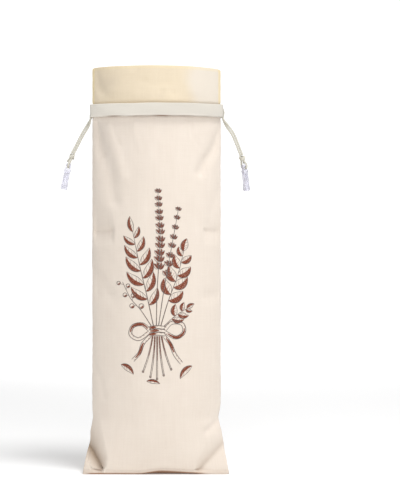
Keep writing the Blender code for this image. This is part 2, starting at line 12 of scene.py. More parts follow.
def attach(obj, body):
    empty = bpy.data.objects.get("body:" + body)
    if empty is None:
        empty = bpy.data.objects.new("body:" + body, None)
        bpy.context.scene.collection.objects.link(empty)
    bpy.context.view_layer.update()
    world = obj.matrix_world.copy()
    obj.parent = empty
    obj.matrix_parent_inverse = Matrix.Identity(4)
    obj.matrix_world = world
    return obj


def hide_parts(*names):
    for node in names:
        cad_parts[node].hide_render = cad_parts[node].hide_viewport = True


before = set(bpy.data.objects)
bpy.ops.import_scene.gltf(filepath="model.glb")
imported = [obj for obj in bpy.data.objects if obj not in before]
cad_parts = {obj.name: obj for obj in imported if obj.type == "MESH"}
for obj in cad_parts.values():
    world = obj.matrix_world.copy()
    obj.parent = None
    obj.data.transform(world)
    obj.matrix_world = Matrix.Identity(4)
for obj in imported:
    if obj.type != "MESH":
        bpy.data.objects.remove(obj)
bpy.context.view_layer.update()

# A standing drawstring bag: folded cotton body, cream cuff, taped neck channel, twisted
# drawstrings with knots and clear pulls. Tables and named sizes are in millimetres.
MM = 0.001

# View
VIEW_X = 60.0
VIEW_Z = 317.0
VIEW_BACK = 2000.0
VIEW_HEIGHT = 667.0
WALL_BACK = 1500.0
SENSOR = 36.0

# Cloth
GAP = 0.3
BODY_WALL = 1.3
CUFF_WALL = 1.2
TAPE_WALL = 1.0
ROUNDNESS = 2.3
FULL_ROUND = 0.4
FOLD_FADE = 8.0             # folds die out over this distance to a side seam or the tape
EAR = 16.0                  # the corners are folded flat this far in from a side seam
EAR_TOP = 110.0             # and up to here
EAR_FADE = 20.0
FACET_STEEPER = 0.4         # how much a flat-sided fold steepens towards its valley
CREASE_SHADE_STEEPER = 0.65       # and how much the painted shade in it does
AROUND = 208                # columns of cloth round the bag
FULL_HALF = 89.0            # half the bag's width where it is full
NECK_STEPS = 720            # places tried on half the neck

# Heights
BODY_TOP = 503.6
CUFF_SPREAD = 509.0
RIM = 556.0
RIM_DROP_RIGHT = 2.0
RIM_CORNER_DROP = 1.2
RIM_CORNER_WIDTH = 3.0
CUFF_FOOT = 474.0
TAPE_FOOT = 488.0
TAPE_TOP = 506.0
TAPE_HEIGHT = TAPE_TOP - TAPE_FOOT
TAPE_HEM = 1.6              # sewn down over this height at both edges
TAPE_SHOULDER = 3.0         # and clear of the drawstring from this height
TAPE_STEP = 1.3
TAPE_FLARE = 21.0           # the tape widens over this length before its ends
STITCH_STEP = 2.6
STITCH_IN = 1.35            # from the tape's edge to its stitches
TAPE_SAG = 1.5
TAPE_SPREAD_LEFT = 0.5
TAPE_SPREAD_RIGHT = 0.9

# Drawstrings
CORD = 2.7
CORD_FULL = 2.85            # over the crests of its plies, where it shows
PLIES = 3
LAY = 8.5                   # length of one turn of the plies
PLY_DEPTH = 0.2             # share of the radius
PLY_CREST = 0.7
GROOVE_TOP = 0.93           # painted shade in the grooves begins at this share of the radius
GROOVE_DEPTH = 0.13         # and is darkest this share further in
END_PINCH = 0.45            # a cord's end is drawn in to this share of its radius
END_BULGE = 0.22            # and stands out this far
CUT_SWELL = 1.12            # a cut end is swollen
CUT_BULGE = 0.35            # and its face is sunk by this much
RUN_STEP = 3.5              # spacing of a drawstring's points in the channels
RUN_RINGS = 1.4             # and of its rings there
STRAND_RINGS = 0.6          # and on the free ends
KNOT_RINGS = 0.5
TAIL_RINGS = 0.4
CORD_LOW = 494.6
CORD_HIGH = 500.2
MOUTH = 5.0
BRIDGE_RISE = 0.4
SEAM_TUCK = 2.6
TUCK_FOOT = 491.0
TUCK_TOP = 501.5
TUCK_FADE = 7.0
TUCK_WIDTH = 3.4

# Bottom
EDGE_LIFT = 0.6
BASE_INSET = 7.0
BASE_THICKNESS = 1.5
INNER_FLOOR_INSET = 11.0
LOWEST_INNER = 8.0
EDGE_RISE = 14.4            # the bottom edge's wave dies out over this height
EDGE_SHADOW_TOP = 2.7         # the painted shadow along the bottom edge begins here
LOW_SHADE_TOP = 7.5          # and a faint painted shade here

Level = namedtuple("Level", "z left right front back seam round")
LEVELS = (
    (0.0, 100.0, 100.0, -28.0, 31.0, -28.0, 0.00),
    (10.0, 98.5, 98.0, -32.2, 35.0, -26.0, 0.02),
    (20.0, 96.6, 96.2, -35.0, 37.6, -22.5, 0.05),
    (30.0, 94.8, 94.2, -37.0, 39.4, -19.0, 0.08),
    (42.0, 91.8, 92.6, -38.5, 40.6, -14.0, 0.14),
    (55.0, 91.4, 90.4, -39.6, 41.2, -9.5, 0.20),
    (65.0, 89.6, 87.9, -40.3, 41.6, -6.0, 0.26),
    (75.0, 88.1, 85.8, -40.8, 41.9, -3.0, 0.31),
    (90.0, 89.0, 88.5, -41.4, 42.0, -0.6, 0.36),
    (120.0, 89.0, 89.0, -42.0, 42.0, 0.0, FULL_ROUND),
    (300.0, 89.0, 89.0, -42.0, 42.0, 0.0, FULL_ROUND),
    (480.0, 89.0, 89.0, -40.0, 40.0, 0.0, FULL_ROUND),
    (510.0, 89.0, 89.0, -40.0, 40.0, 0.0, FULL_ROUND),
    (556.0, 89.0, 89.0, -38.0, 38.0, 0.0, FULL_ROUND),
)

# A fold is a soft trough along a path of (x, z); a negative depth is a ridge.
Fold = namedtuple("Fold", "side depth width path")


def fold_table(front, back):
    """Folds of both faces, from rows of depth, width and path."""
    return [Fold(side, *row) for side, rows in (("front", front), ("back", back)) for row in rows]


MAIN_FOLDS = fold_table(
    front=(
        (4.4, 8.0, ((-88, 482), (-82, 462), (-74, 438))),
        (2.6, 9.0, ((-69, 424), (-62, 400), (-57, 372))),
        (-1.6, 8.0, ((-64, 474), (-56, 446), (-45, 405))),
        (3.8, 7.0, ((88, 463), (78, 441), (68, 427), (61, 412))),
        (2.2, 12.0, ((-80, 248), (-64, 246))),
        (2.2, 10.0, ((84, 243), (70, 241))),
        (2.6, 5.0, ((83, 68), (69, 57))),
        (-0.8, 2.2, ((-97, 2.4), (97, 2.4))),
    ),
    back=(
        (2.6, 12.0, ((-72, 446), (-60, 400), (-52, 352))),
        (2.2, 12.0, ((76, 322), (62, 268), (56, 226))),
        (2.0, 15.0, ((12, 132), (4, 84), (-10, 48))),
        (4.0, 8.0, ((90, 46), (74, 30), (56, 18))),
        (4.4, 8.0, ((-92, 42), (-76, 27), (-60, 16))),
    ))
# A flat-sided fold deepens evenly from its ridge to its valley and rises again beyond it.
Facet = namedtuple("Facet", "depth reach ridge valley")
FACETS = (
    Facet(6.5, 20.0, ((-93, 384), (-74, 378), (-60, 362), (-57, 338)),
          ((-95, 333), (-74, 330), (-58, 334))),
    Facet(4.5, 20.0, ((93, 392), (78, 380), (66, 358), (64, 336)),
          ((95, 334), (80, 331), (64, 333))),
    Facet(13.0, 15.0, ((-80, 94), (-72, 53), (-64.5, 21), (-66.5, 11), (-72.5, 5)),
          ((-97, 42), (-91, 34.5), (-82, 22), (-72.5, 6.5))),
    Facet(8.0, 20.0, ((84, 62), (66, 38), (54, 18), (53, 8)),
          ((95, 43), (86.8, 35), (73, 21), (60, 7.5))),
)
FINE_FOLDS = fold_table(
    front=(
        (0.5, 3.0, ((-60, 484), (-57, 466), (-50, 448))),
        (-0.5, 3.5, ((-30, 486), (-28, 462), (-22, 440))),
        (0.4, 4.0, ((8, 486), (6, 460))),
        (0.5, 3.5, ((46, 486), (50, 462), (60, 446))),
        (0.9, 6.0, ((-86, 276), (-74, 262), (-66, 246))),
        (0.9, 6.0, ((88, 392), (78, 368), (72, 342))),
        (0.8, 5.0, ((-88, 150), (-76, 128), (-72, 104))),
        (0.45, 0.9, ((-97, 5.2), (97, 5.2))),
        (0.5, 3.0, ((30, 40), (24, 22), (12, 10))),
        (0.5, 3.0, ((-20, 30), (-26, 16), (-36, 8))),
    ),
    back=(
        (0.6, 4.0, ((-40, 486), (-44, 458), (-52, 430))),
        (0.6, 4.0, ((36, 486), (40, 456), (52, 436))),
        (0.7, 4.0, ((70, 130), (52, 96), (46, 66))),
        (0.6, 4.0, ((-66, 118), (-50, 90), (-40, 60))),
    ))

CUFF_FOLDS = fold_table(
    front=(
        (1.7, 7.0, ((-86, 546), (-78, 528), (-68, 510))),
        (-1.2, 6.0, ((-70, 514), (-52, 528), (-36, 546))),
        (1.1, 2.8, ((9, 519), (5, 508))),
        (0.8, 3.2, ((24, 517), (19, 508))),
        (-1.0, 10.0, ((50, 556), (46, 508))),
        (0.4, 4.0, ((-20, 536), (-4, 529), (16, 534))),
    ),
    back=(
        (0.8, 6.0, ((30, 552), (22, 530), (18, 510))),
        (0.7, 7.0, ((-60, 548), (-48, 526), (-44, 510))),
    ))

# x and rise of the sewn bottom edge over the floor, along the front.
EDGE_WAVE = ((-20.0, 0.0), (0.0, 3.0), (8.0, 3.5), (22.0, 2.9), (45.0, 1.4), (75.0, 0.0))

# Middle of the two free ends of a drawstring, from the channel's mouth to the knot.
Route = namedtuple("Route", "x z apart turn")
LEFT_ROUTE = (
    Route(-91.0, 486.5, 1.6, 0.0),
    Route(-94.6, 477.5, 1.65, 60.0),
    Route(-102.7, 463.7, 1.5, 90.0),
    Route(-110.4, 448.6, 1.45, 90.0),
    Route(-116.0, 438.1, 1.45, 90.0),
)
RIGHT_ROUTE = (
    Route(91.9, 486.5, 1.6, 0.0),
    Route(97.6, 476.6, 1.65, 60.0),
    Route(105.2, 465.7, 1.55, 90.0),
    Route(110.6, 453.4, 1.5, 90.0),
    Route(117.3, 435.8, 1.45, 90.0),
)
LEFT_LEAD = ((-89.5, 5.1, 493.4), (-90.9, 2.8, 490.4))
RIGHT_LEAD = ((89.8, 5.2, 500.1), (91.7, 3.2, 498.9), (92.6, 2.1, 494.4))

# Place of each pull's eye, its lean and turn, and the knot's middle and cut tail in its frame.
Hang = namedtuple("Hang", "x z lean turn knot tail")
LEFT_HANG = Hang(-121.9, 420.4, 11.5, 0.0, (2.2, 0.0, 14.4), (-2.6, -1.0, 6.6))
RIGHT_HANG = Hang(121.2, 418.9, -6.0, 48.0, (-1.1, 1.2, 12.8), (3.2, 2.4, 6.6))
LOOP_TOP = 12.0
LOOP_HALF = ((1.2, LOOP_TOP), (2.6, 8.6), (4.3, 4.6), (4.5, 1.6), (3.5, -0.4), (1.4, -1.0))

PULL_THICKNESS = 5.0
PULL_WEB = 1.0
# Half width and height down one side of a pull.
PULL_OUTLINE = (
    (2.4, 4.2), (3.3, 3.6), (3.5, 2.8), (3.5, -3.4), (4.5, -3.9), (4.5, -6.4),
    (3.9, -7.0), (4.1, -23.6), (4.5, -26.0), (4.6, -30.0), (4.2, -31.6), (3.2, -32.3),
)
EYE_HALF_WIDTH = 2.1
EYE_TOP = 1.5
EYE_FOOT = -3.1
WINDOW_HALF = 2.3
WINDOW_TOP = -8.6
WINDOW_FOOT = -22.6
RIB_TOP = -25.6
RIB_STEP = 1.9

# Finishes
RELIEF_DEPTH = 0.0002       # metres
SHADER_NAMES = {"roughness": "Roughness", "sheen": "Sheen Weight", "specular": "Specular IOR Level",
                "sheen_roughness": "Sheen Roughness", "transmission": "Transmission Weight",
                "bending": "IOR", "colour": "Base Color", "glow_colour": "Emission Color",
                "glow": "Emission Strength"}
WHITE = (1.0, 1.0, 1.0, 1.0)


def ease(t):
    """0 to 1 with a soft start and end."""
    t = np.clip(t, 0.0, 1.0)
    return t * t * (3.0 - 2.0 * t)


def smooth_through(knots, values, at):
    """Values on a smooth line through a table's points."""
    knots = np.asarray(knots, float)
    values = np.asarray(values, float)
    slopes = np.empty_like(values)
    slopes[1:-1] = (values[2:] - values[:-2]) / (knots[2:] - knots[:-2])
    slopes[0] = (values[1] - values[0]) / (knots[1] - knots[0])
    slopes[-1] = (values[-1] - values[-2]) / (knots[-1] - knots[-2])
    at = np.clip(at, knots[0], knots[-1])
    i = np.clip(np.searchsorted(knots, at, side="right") - 1, 0, len(knots) - 2)
    step = knots[i + 1] - knots[i]
    t = (at - knots[i]) / step
    rise = values[i + 1] - values[i]
    return (values[i] + rise * t * t * (3 - 2 * t)
            + step * (slopes[i] * t * (1 - t) ** 2 - slopes[i + 1] * t * t * (1 - t)))


def level_at(z):
    heights, *columns = zip(*LEVELS)
    return Level(z, *(smooth_through(heights, column, z) for column in columns))


def section_place(angle, z, inset=0.0):
    """x and y of the bag's section: angle 0 is the right seam, 90 degrees the back's middle."""
    angle, z, inset = np.broadcast_arrays(*np.atleast_1d(angle, z, inset))
    level = level_at(z)
    side, way = np.cos(angle), np.sin(angle)
    reach = np.sign(side) * np.abs(side) ** (2 / ROUNDNESS)
    bow = level.round * np.abs(way) ** (2 / ROUNDNESS) + (1 - level.round) * (1 - reach * reach)
    lean = (level.seam - level.front) / (level.back - level.front)
    seam = level.seam + inset * (1 - 2 * lean)
    middle = np.where(way > 0, level.back - inset, level.front + inset)
    tip_share = 1.0 + 2.0 * (1.0 - np.minimum(level.round / FULL_ROUND, 1.0))
    half = np.where(side > 0, level.right, level.left) - inset * tip_share
    y = seam + (middle - seam) * bow
    beyond = np.maximum(np.maximum(TUCK_FOOT - z, z - TUCK_TOP), 0.0)
    tuck = SEAM_TUCK * ease(1 - beyond / TUCK_FADE) * np.exp(-((y - seam) / TUCK_WIDTH) ** 2)
    return reach * half - np.sign(side) * tuck, y


def section_out(angle, z):
    """The way out of the cloth, level with the floor."""
    step = 0.01
    x0, y0 = section_place(np.asarray(angle) - step, z)
    x1, y1 = section_place(np.asarray(angle) + step, z)
    long = np.hypot(x1 - x0, y1 - y0)
    return (y1 - y0) / long, -(x1 - x0) / long


def path_distance(path, x, z):
    """Shortest way from places on the cloth to a fold's path."""
    best = np.full(np.shape(x), np.inf)
    for (x0, z0), (x1, z1) in zip(path, path[1:]):
        run_x, run_z = x1 - x0, z1 - z0
        t = np.clip(((x - x0) * run_x + (z - z0) * run_z) / (run_x ** 2 + run_z ** 2), 0, 1)
        best = np.minimum(best, np.hypot(x - x0 - t * run_x, z - z0 - t * run_z))
    return best


def troughs(folds, way, x, z):
    depth = np.zeros(np.shape(x))
    for fold in folds:
        trough = fold.depth * np.exp(-(path_distance(fold.path, x, z) / fold.width) ** 2)
        depth += np.where((way > 0) == (fold.side == "back"), trough, 0.0)
    return depth


def facet_share(fold, x, z, reach, steepness):
    """Nothing at a flat-sided fold's ridge, 1 in its valley and nothing at its reach beyond."""
    ridge = np.array(sorted(fold.ridge, key=lambda point: point[1]), float)
    valley = np.array(sorted(fold.valley), float)
    hand = np.sign(valley[:, 0].mean() - ridge[:, 0].mean())
    beyond = hand * (x - np.interp(z, ridge[:, 1], ridge[:, 0]))
    from_ridge = path_distance(fold.ridge, x, z)
    from_valley = path_distance(fold.valley, x, z)
    slope = from_ridge / (from_ridge + from_valley + 0.01)
    slope = (1 - steepness) * slope + steepness * slope ** 3
    rise = np.clip(1 - from_valley / reach, 0, 1)
    part = np.where(z > np.interp(x, valley[:, 0], valley[:, 1]), slope, rise)
    return part * ease(beyond / 2.5) * ease((ridge[-1, 1] - z) / 30.0) * ease(z / 6.0)


def facets(folds, way, x, z):
    """How far flat-sided folds push the cloth back. At the bottom corners both walls go along."""
    depth = sum(fold.depth * facet_share(fold, x, z, fold.reach, FACET_STEEPER) for fold in folds)
    low = ease((EAR_TOP - z) / EAR_FADE)
    edge = side_edge(x, z)
    return depth * np.where(way > 0, low * (1 - ease(edge / EAR)),
                            low + (1 - low) * ease(edge / FOLD_FADE))


def side_edge(x, z):
    """How far a place on the cloth is from the nearer side seam, seen from the front."""
    level = level_at(z)
    return np.where(x > 0, level.right, level.left) - np.abs(x)


def fold_depth(way, x, z):
    edge = side_edge(x, z)
    return troughs(MAIN_FOLDS, way, x, z) * ease(edge / FOLD_FADE) * ease(
        (TAPE_FOOT - z) / FOLD_FADE)


def drape(angle, x, z):
    """Slow unevenness of the cloth: long shallow waves that never line up."""
    ripple = (0.42 * np.sin(x / 17.0 + z / 63.0 + 1.3) * np.sin(z / 41.0 - x / 90.0)
              + 0.26 * np.sin(x / 9.0 - z / 37.0) * np.sin(z / 23.0 + 0.7)
              + 0.12 * np.sin(x / 4.7 + z / 19.0 + 2.0) * np.sin(z / 11.0 + x / 31.0))
    return ripple * np.where(np.sin(angle) > 0, -1.0, 1.0)


def seam_groove(x, z):
    """Depth of the side seams, drawn in by their sewing."""
    pucker = 0.5 + 0.5 * np.sin(z / 2.3 + 1.7 * np.sin(z / 13.0))
    return (0.35 + 0.2 * pucker) * np.exp(-(side_edge(x, z) / 0.5) ** 2)


def run_lengths(points):
    """Length along a path up to each of its points."""
    return np.concatenate(([0.0], np.cumsum(np.linalg.norm(np.diff(points, axis=0), axis=1))))


def round_bag(column):
    return 2 * math.pi * (column % AROUND) / AROUND


def new_object(name, data):
    made = bpy.data.objects.new(name, data)
    bpy.context.scene.collection.objects.link(made)
    return made


def take_mesh(bm, name):
    mesh = bpy.data.meshes.new(name)
    bm.to_mesh(mesh)
    bm.free()
    return mesh


def closed_mesh(bm, name, merge):
    """Merge points that meet, fill the ends and turn all faces out."""
    bmesh.ops.remove_doubles(bm, verts=bm.verts, dist=merge)
    bmesh.ops.holes_fill(bm, edges=[edge for edge in bm.edges if edge.is_boundary], sides=0)
    bmesh.ops.recalc_face_normals(bm, faces=bm.faces)
    return take_mesh(bm, name)


def evaluated_mesh(thing):
    bpy.context.view_layer.update()
    graph = bpy.context.evaluated_depsgraph_get()
    return bpy.data.meshes.new_from_object(thing.evaluated_get(graph))


def placed_grid(name, columns, rows, rule):
    """Closed mesh from a grid whose points a rule places. The rule gets arrays of columns and
    rows, and gives places in millimetres and cloth coordinates in metres."""
    bm = bmesh.new()
    bmesh.ops.create_grid(bm, x_segments=columns, y_segments=rows, size=1.0)
    flat = np.array([vert.co[:2] for vert in bm.verts])
    column = np.rint((flat[:, 0] + 1) / 2 * columns).astype(int)
    row = np.rint((flat[:, 1] + 1) / 2 * rows).astype(int)
    places, cloth = rule(column, row)
    for vert, place in zip(bm.verts, places * MM):
        vert.co = place
    bm.verts.index_update()
    layer = bm.loops.layers.uv.new("cloth")
    for face in bm.faces:
        for loop in face.loops:
            loop[layer].uv = cloth[loop.vert.index]
    mesh = closed_mesh(bm, name, 0.000004)
    mesh.shade_smooth()
    return mesh


def mesh_places(mesh):
    """Places of a mesh's points, in millimetres."""
    places = np.empty(len(mesh.vertices) * 3)
    mesh.vertices.foreach_get("co", places)
    return places.reshape(-1, 3) / MM


def mark(mesh, name, values):
    mesh.attributes.new(name, "FLOAT", "POINT").data.foreach_set("value", values)


def add_piece(name, mesh, finish, slot, *nodes):
    """A finished piece that rides on the bag and stands for the nodes named."""
    piece = new_object(name, mesh)
    mesh.materials.clear()
    mesh.materials.append(finish)
    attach(piece, "root")
    if nodes:
        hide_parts(*nodes)
    return piece


def put(tree, kind, *inputs, out=0, **settings):
    """Add a node, set or link its inputs in order, and give one of its outputs."""
    made = tree.nodes.new(kind)
    for key, value in settings.items():
        setattr(made, key, value)
    for socket, value in zip(made.inputs, inputs):
        if isinstance(value, bpy.types.NodeSocket):
            tree.links.new(value, socket)
        elif value is not None:
            socket.default_value = value
    return made.outputs[out]


def math_node(tree, operation, *inputs):
    return put(tree, "ShaderNodeMath", *inputs, operation=operation)


def mix_colour(tree, share, low, high):
    low, high = ((*tone, 1.0) if isinstance(tone, tuple) else tone for tone in (low, high))
    return put(tree, "ShaderNodeMix", share, *[None] * 5, low, high, data_type="RGBA", out=2)


def new_finish(name, **levels):
    """A material, its node tree and its shader, with the shader's levels set by name."""
    finish = bpy.data.materials.new(name)
    finish.use_nodes = True
    shader = finish.node_tree.nodes["Principled BSDF"]
    for key, value in levels.items():
        shader.inputs[SHADER_NAMES[key]].default_value = value
    return finish, finish.node_tree, shader


def link_finish(tree, shader, colour, height=None, relief=0.0):
    """Give the shader its colour and, where there is one, its fine relief."""
    tree.links.new(colour, shader.inputs["Base Color"])
    if height:
        bump = tree.nodes.new("ShaderNodeBump")
        bump.inputs["Strength"].default_value = relief
        bump.inputs["Distance"].default_value = RELIEF_DEPTH
        tree.links.new(height, bump.inputs["Height"])
        tree.links.new(bump.outputs[0], shader.inputs["Normal"])


def cloth_axes(tree):
    """The cloth's own coordinates: round the piece and up it."""
    apart = tree.nodes.new("ShaderNodeSeparateXYZ")
    tree.links.new(put(tree, "ShaderNodeUVMap", uv_map="cloth"), apart.inputs[0])
    return apart.outputs[0], apart.outputs[1]


def marked(tree, name):
    return put(tree, "ShaderNodeAttribute", attribute_name=name, out=2)


def place_noise(tree, scale, detail):
    return put(tree, "ShaderNodeTexNoise", put(tree, "ShaderNodeTexCoord", out=3), None, scale,
               detail)


def stretched_noise(tree, u, v, across, along, detail=2.0):
    """Noise drawn out into slubs, across by along millimetres."""
    place = put(tree, "ShaderNodeCombineXYZ",
                math_node(tree, "MULTIPLY", u, 1000.0 / across),
                math_node(tree, "MULTIPLY", v, 1000.0 / along))
    return put(tree, "ShaderNodeTexNoise", place, None, 1.0, detail)


def woven_finish(name, light, dark, pitch, slub, relief, fleck=0.0, twill=0.0, streak=0.0,
                 washes=()):
    """Plain or twilled cloth: crossing threads, slubs both ways, uneven tone and seed flecks."""
    finish, tree, shader = new_finish(name, roughness=0.92, sheen=0.25, sheen_roughness=0.6,
                                      specular=0.2)
    u, v = cloth_axes(tree)
    count = partial(math_node, tree)
    noise = partial(stretched_noise, tree, u, v)
    turn = math.pi * 1000.0 / pitch
    warp = count("SINE", count("MULTIPLY", count("ADD", u, count("MULTIPLY", v, twill)), turn))
    weft = count("SINE", count("MULTIPLY", v, turn))
    weave = count("MULTIPLY", warp, weft)
    slubs = count("ADD", noise(0.9, 28.0), noise(28.0, 0.9))
    mottle = noise(24.0, 30.0, 4.0)
    tone = count("MULTIPLY_ADD", slubs, slub, 0.5 - slub)
    tone = count("MULTIPLY_ADD", mottle, 0.5, count("SUBTRACT", tone, 0.25))
    tone = count("MULTIPLY_ADD", weave, 0.12, tone)
    if streak:
        lines = count("ADD", noise(3.4, 90.0), count("MULTIPLY", noise(70.0, 4.2), 0.3))
        tone = count("ADD", tone, count("MULTIPLY_ADD", lines, streak, -0.65 * streak))
    colour = mix_colour(tree, put(tree, "ShaderNodeClamp", tone), dark, light)
    if fleck:
        spot = put(tree, "ShaderNodeMapRange", noise(1.4, 2.2, 0.0), 0.80, 0.84, 0.0, fleck)
        colour = mix_colour(tree, spot, colour, (0.30, 0.20, 0.11))
    # Washes follow marked attributes; on the bag several of them are painted shade, shadow or
    # light.
    for attribute, wash in washes:
        colour = mix_colour(tree, marked(tree, attribute), colour, wash)
    height = count("MULTIPLY_ADD", slubs, 0.6, count("MULTIPLY", weave, 0.5))
    link_finish(tree, shader, colour, height, relief)
    return finish


def cord_finish(name):
    """Twisted cotton: fibres along the plies, with painted shade where the plies meet and in a cut
    end.
    """
    finish, tree, shader = new_finish(name, roughness=0.9, sheen=0.3, specular=0.2)
    fibres = stretched_noise(tree, *cloth_axes(tree), 0.35, 3.0)
    colour = mix_colour(tree, fibres, (0.57, 0.54, 0.455), (0.78, 0.76, 0.68))
    # Painted shade in the grooves between the plies.
    colour = mix_colour(tree, marked(tree, "tint"), colour, (0.29, 0.265, 0.205))
    # Painted shade in the hollow of a cut end.
    colour = mix_colour(tree, marked(tree, "cut_end_shade"), colour, (0.09, 0.075, 0.05))
    link_finish(tree, shader, colour, fibres, 0.4)
    return finish


def clear_finish(name):
    """Clear moulded plastic with a faint lilac tint and a slightly uneven skin."""
    finish, tree, shader = new_finish(name, roughness=0.16, transmission=0.55, bending=1.47)
    cloud = place_noise(tree, 260.0, 2.0)
    colour = mix_colour(tree, cloud, (0.85, 0.84, 0.945), (0.93, 0.925, 0.985))
    link_finish(tree, shader, colour, cloud, 0.15)
    return finish


def ink_finish(name, colour, worn):
    """Printed ink, thin enough for the threads to break it up."""
    finish, tree, shader = new_finish(name, roughness=0.85, specular=0.2)
    break_up = put(tree, "ShaderNodeMapRange", place_noise(tree, 900.0, 2.0), 0.50, 0.72, 0.0, 0.55)
    link_finish(tree, shader, mix_colour(tree, break_up, colour, worn))
    return finish


def make_camera():
    data = bpy.data.cameras.new("view")
    data.sensor_width = SENSOR
    data.lens = SENSOR * VIEW_BACK / VIEW_HEIGHT
    data.clip_end = 20.0
    camera = new_object("view", data)
    camera.location = Vector((VIEW_X, -VIEW_BACK, VIEW_Z)) * MM
    camera.rotation_euler = (math.radians(90), 0.0, 0.0)
    bpy.context.scene.camera = camera


def neck_track(way, mouth, spacing):
    """Places along the neck from the right mouth to the left, with the way out of the cloth."""
    z = 0.5 * (TAPE_FOOT + TAPE_TOP)
    fine = way * math.pi * np.arange(NECK_STEPS + 1) / NECK_STEPS
    places = np.column_stack(section_place(fine, z))
    held = np.abs(places[:, 1]) >= mouth - 1e-9
    fine, places = fine[held], places[held]
    lengths = run_lengths(places)
    steps = max(2, round(lengths[-1] / spacing))
    near = [int(np.argmin(np.abs(lengths - lengths[-1] * k / steps))) for k in range(steps + 1)]
    return places[near], np.column_stack(section_out(fine[near], z))


def tape_dip(x):
    return TAPE_SAG * (1 - (x / FULL_HALF) ** 2)


def channel_run(home, z):
    """The middle of a drawstring inside both channels, from its own side round the other."""
    runs = []
    for way in (-1, 1):
        places, out = neck_track(way, 0.0, RUN_STEP)
        rise = GAP + CORD / 2 + BRIDGE_RISE * ease(1 - np.abs(places[:, 1]) / (2 * MOUTH))
        at = places + out * rise[:, None]
        runs.append(np.column_stack((at, z - tape_dip(at[:, 0]), places)))
    front, back = runs
    if home == "left":
        around = np.vstack((front[::-1], back[1:]))
    else:
        around = np.vstack((front, back[::-1][1:]))
    own_side = -1 if home == "left" else 1
    kept = (np.abs(around[:, 4]) >= MOUTH) | (around[:, 3] * own_side < 0)
    return around[kept][2:-2, :3]


def pair_points(route, sign):
    """One strand of a pair of free ends: sign -1 starts in front, +1 behind."""
    middle = [Vector((r.x, 0.0, r.z)) for r in route]
    points = []
    for k, row in enumerate(route):
        along = (middle[min(k + 1, len(route) - 1)] - middle[max(k - 1, 0)]).normalized()
        across = Vector((0.0, 1.0, 0.0)).cross(along)
        turn = math.radians(row.turn)
        apart = Vector((0.0, 1.0, 0.0)) * math.cos(turn) + across * math.sin(turn)
        points.append(middle[k] + apart * sign * row.apart)
    return points


def smooth_route(points, spacing):
    """Evenly spaced points on a smooth curve through a route's points."""
    points = np.array([tuple(p) for p in points], float)
    lengths = run_lengths(points)
    steps = max(3, round(lengths[-1] / spacing))
    at = lengths[-1] * np.arange(steps + 1) / steps
    return np.column_stack([smooth_through(lengths, column, at) for column in points.T])


def strand_route(run_end, lead, route, sign):
    lead = [Vector((x, y * sign, z)) for x, y, z in lead]
    run_end = Vector(run_end)
    start = run_end + (lead[0] - run_end).normalized() * 2 * GAP
    return [start] + lead + pair_points(route, sign)


def unit(ways):
    return ways / np.linalg.norm(ways, axis=-1, keepdims=True)


def tube_frames(points):
    """Two crosswise directions at each point of a path, carried along without twist."""
    along = unit(np.gradient(points, axis=0))
    first = np.cross(along[0], (0.0, 1.0, 0.0))
    if np.linalg.norm(first) < 0.2:
        first = np.cross(along[0], (1.0, 0.0, 0.0))
    sides = [unit(first)]
    for way in along[1:]:
        sides.append(unit(sides[-1] - way * np.dot(sides[-1], way)))
    sides = np.array(sides)
    return sides, np.cross(along, sides), along


def twisted_tube(name, points, diameter, around=24, cut=False):
    """A twisted cord along a path: its plies wind round, and its ends are closed."""
    sides, ups, along = tube_frames(points)
    lengths = run_lengths(points)
    last = len(points) - 1

    def rule(column, row):
        inner = np.clip(row - 1, 0, last)
        angle = 2 * math.pi * (column % around) / around
        wound = angle - 2 * math.pi * lengths[inner] / LAY
        crest = np.abs(np.cos(wound * PLIES / 2)) ** PLY_CREST
        radius = diameter / 2 * (1 - PLY_DEPTH + PLY_DEPTH * crest)
        radius = np.where((row == 0) | (row == last + 2), radius * END_PINCH, radius)
        if cut:
            radius = np.where(row >= last - 1, radius * CUT_SWELL, radius)
        push = np.where(row == last + 2, -CUT_BULGE if cut else END_BULGE, 0.0)
        push = np.where(row == 0, -END_BULGE, push)
        at = (points[inner] + sides[inner] * (radius * np.cos(angle))[:, None]
              + ups[inner] * (radius * np.sin(angle))[:, None] + along[inner] * push[:, None])
        wrapped = math.pi * diameter * (angle / (2 * math.pi) - lengths[inner] / LAY)
        return at, np.column_stack((wrapped, lengths[inner])) * MM

    mesh = placed_grid(name, around, last + 2, rule)
    shade_plies(mesh, points, diameter, cut)
    return mesh


def shade_plies(mesh, points, diameter, cut):
    """Mark painted shade in the grooves between plies and in a cut end, for the cord's finish."""
    places = mesh_places(mesh)
    full = diameter / 2
    tints, cut_end_shades = [], []
    for block in np.array_split(places, 1 + len(places) // 4000):
        away = np.linalg.norm(block[:, None, :] - points[None, :, :], axis=2)
        radius = away.min(axis=1)
        groove = (GROOVE_TOP * full - radius) / (GROOVE_DEPTH * full)
        tints.append(np.clip(groove, 0, 1) * 0.75)
        cut_end_shades.append((away.argmin(axis=1) >= len(points) - 2) * (0.9 if cut else 0.0))
    mark(mesh, "tint", np.concatenate(tints))
    mark(mesh, "cut_end_shade", np.concatenate(cut_end_shades))


def hang_matrix(hang):
    place = Matrix.Translation(Vector((hang.x, 0.0, hang.z)))
    return (place @ Matrix.Rotation(math.radians(hang.lean), 4, "Y")
            @ Matrix.Rotation(math.radians(hang.turn), 4, "Z"))


def in_frame(matrix, points):
    return np.array([tuple(matrix @ Vector(p)) for p in points])


def join_meshes(name, meshes):
    """One mesh from several, with their cloth coordinates and painted shade marks kept."""
    objects = [new_object(mesh.name, mesh) for mesh in meshes]
    with bpy.context.temp_override(active_object=objects[0], selected_editable_objects=objects,
                                   selected_objects=objects, object=objects[0]):
        bpy.ops.object.join()
    mesh = objects[0].data
    bpy.data.objects.remove(objects[0])
    mesh.name = name
    return mesh


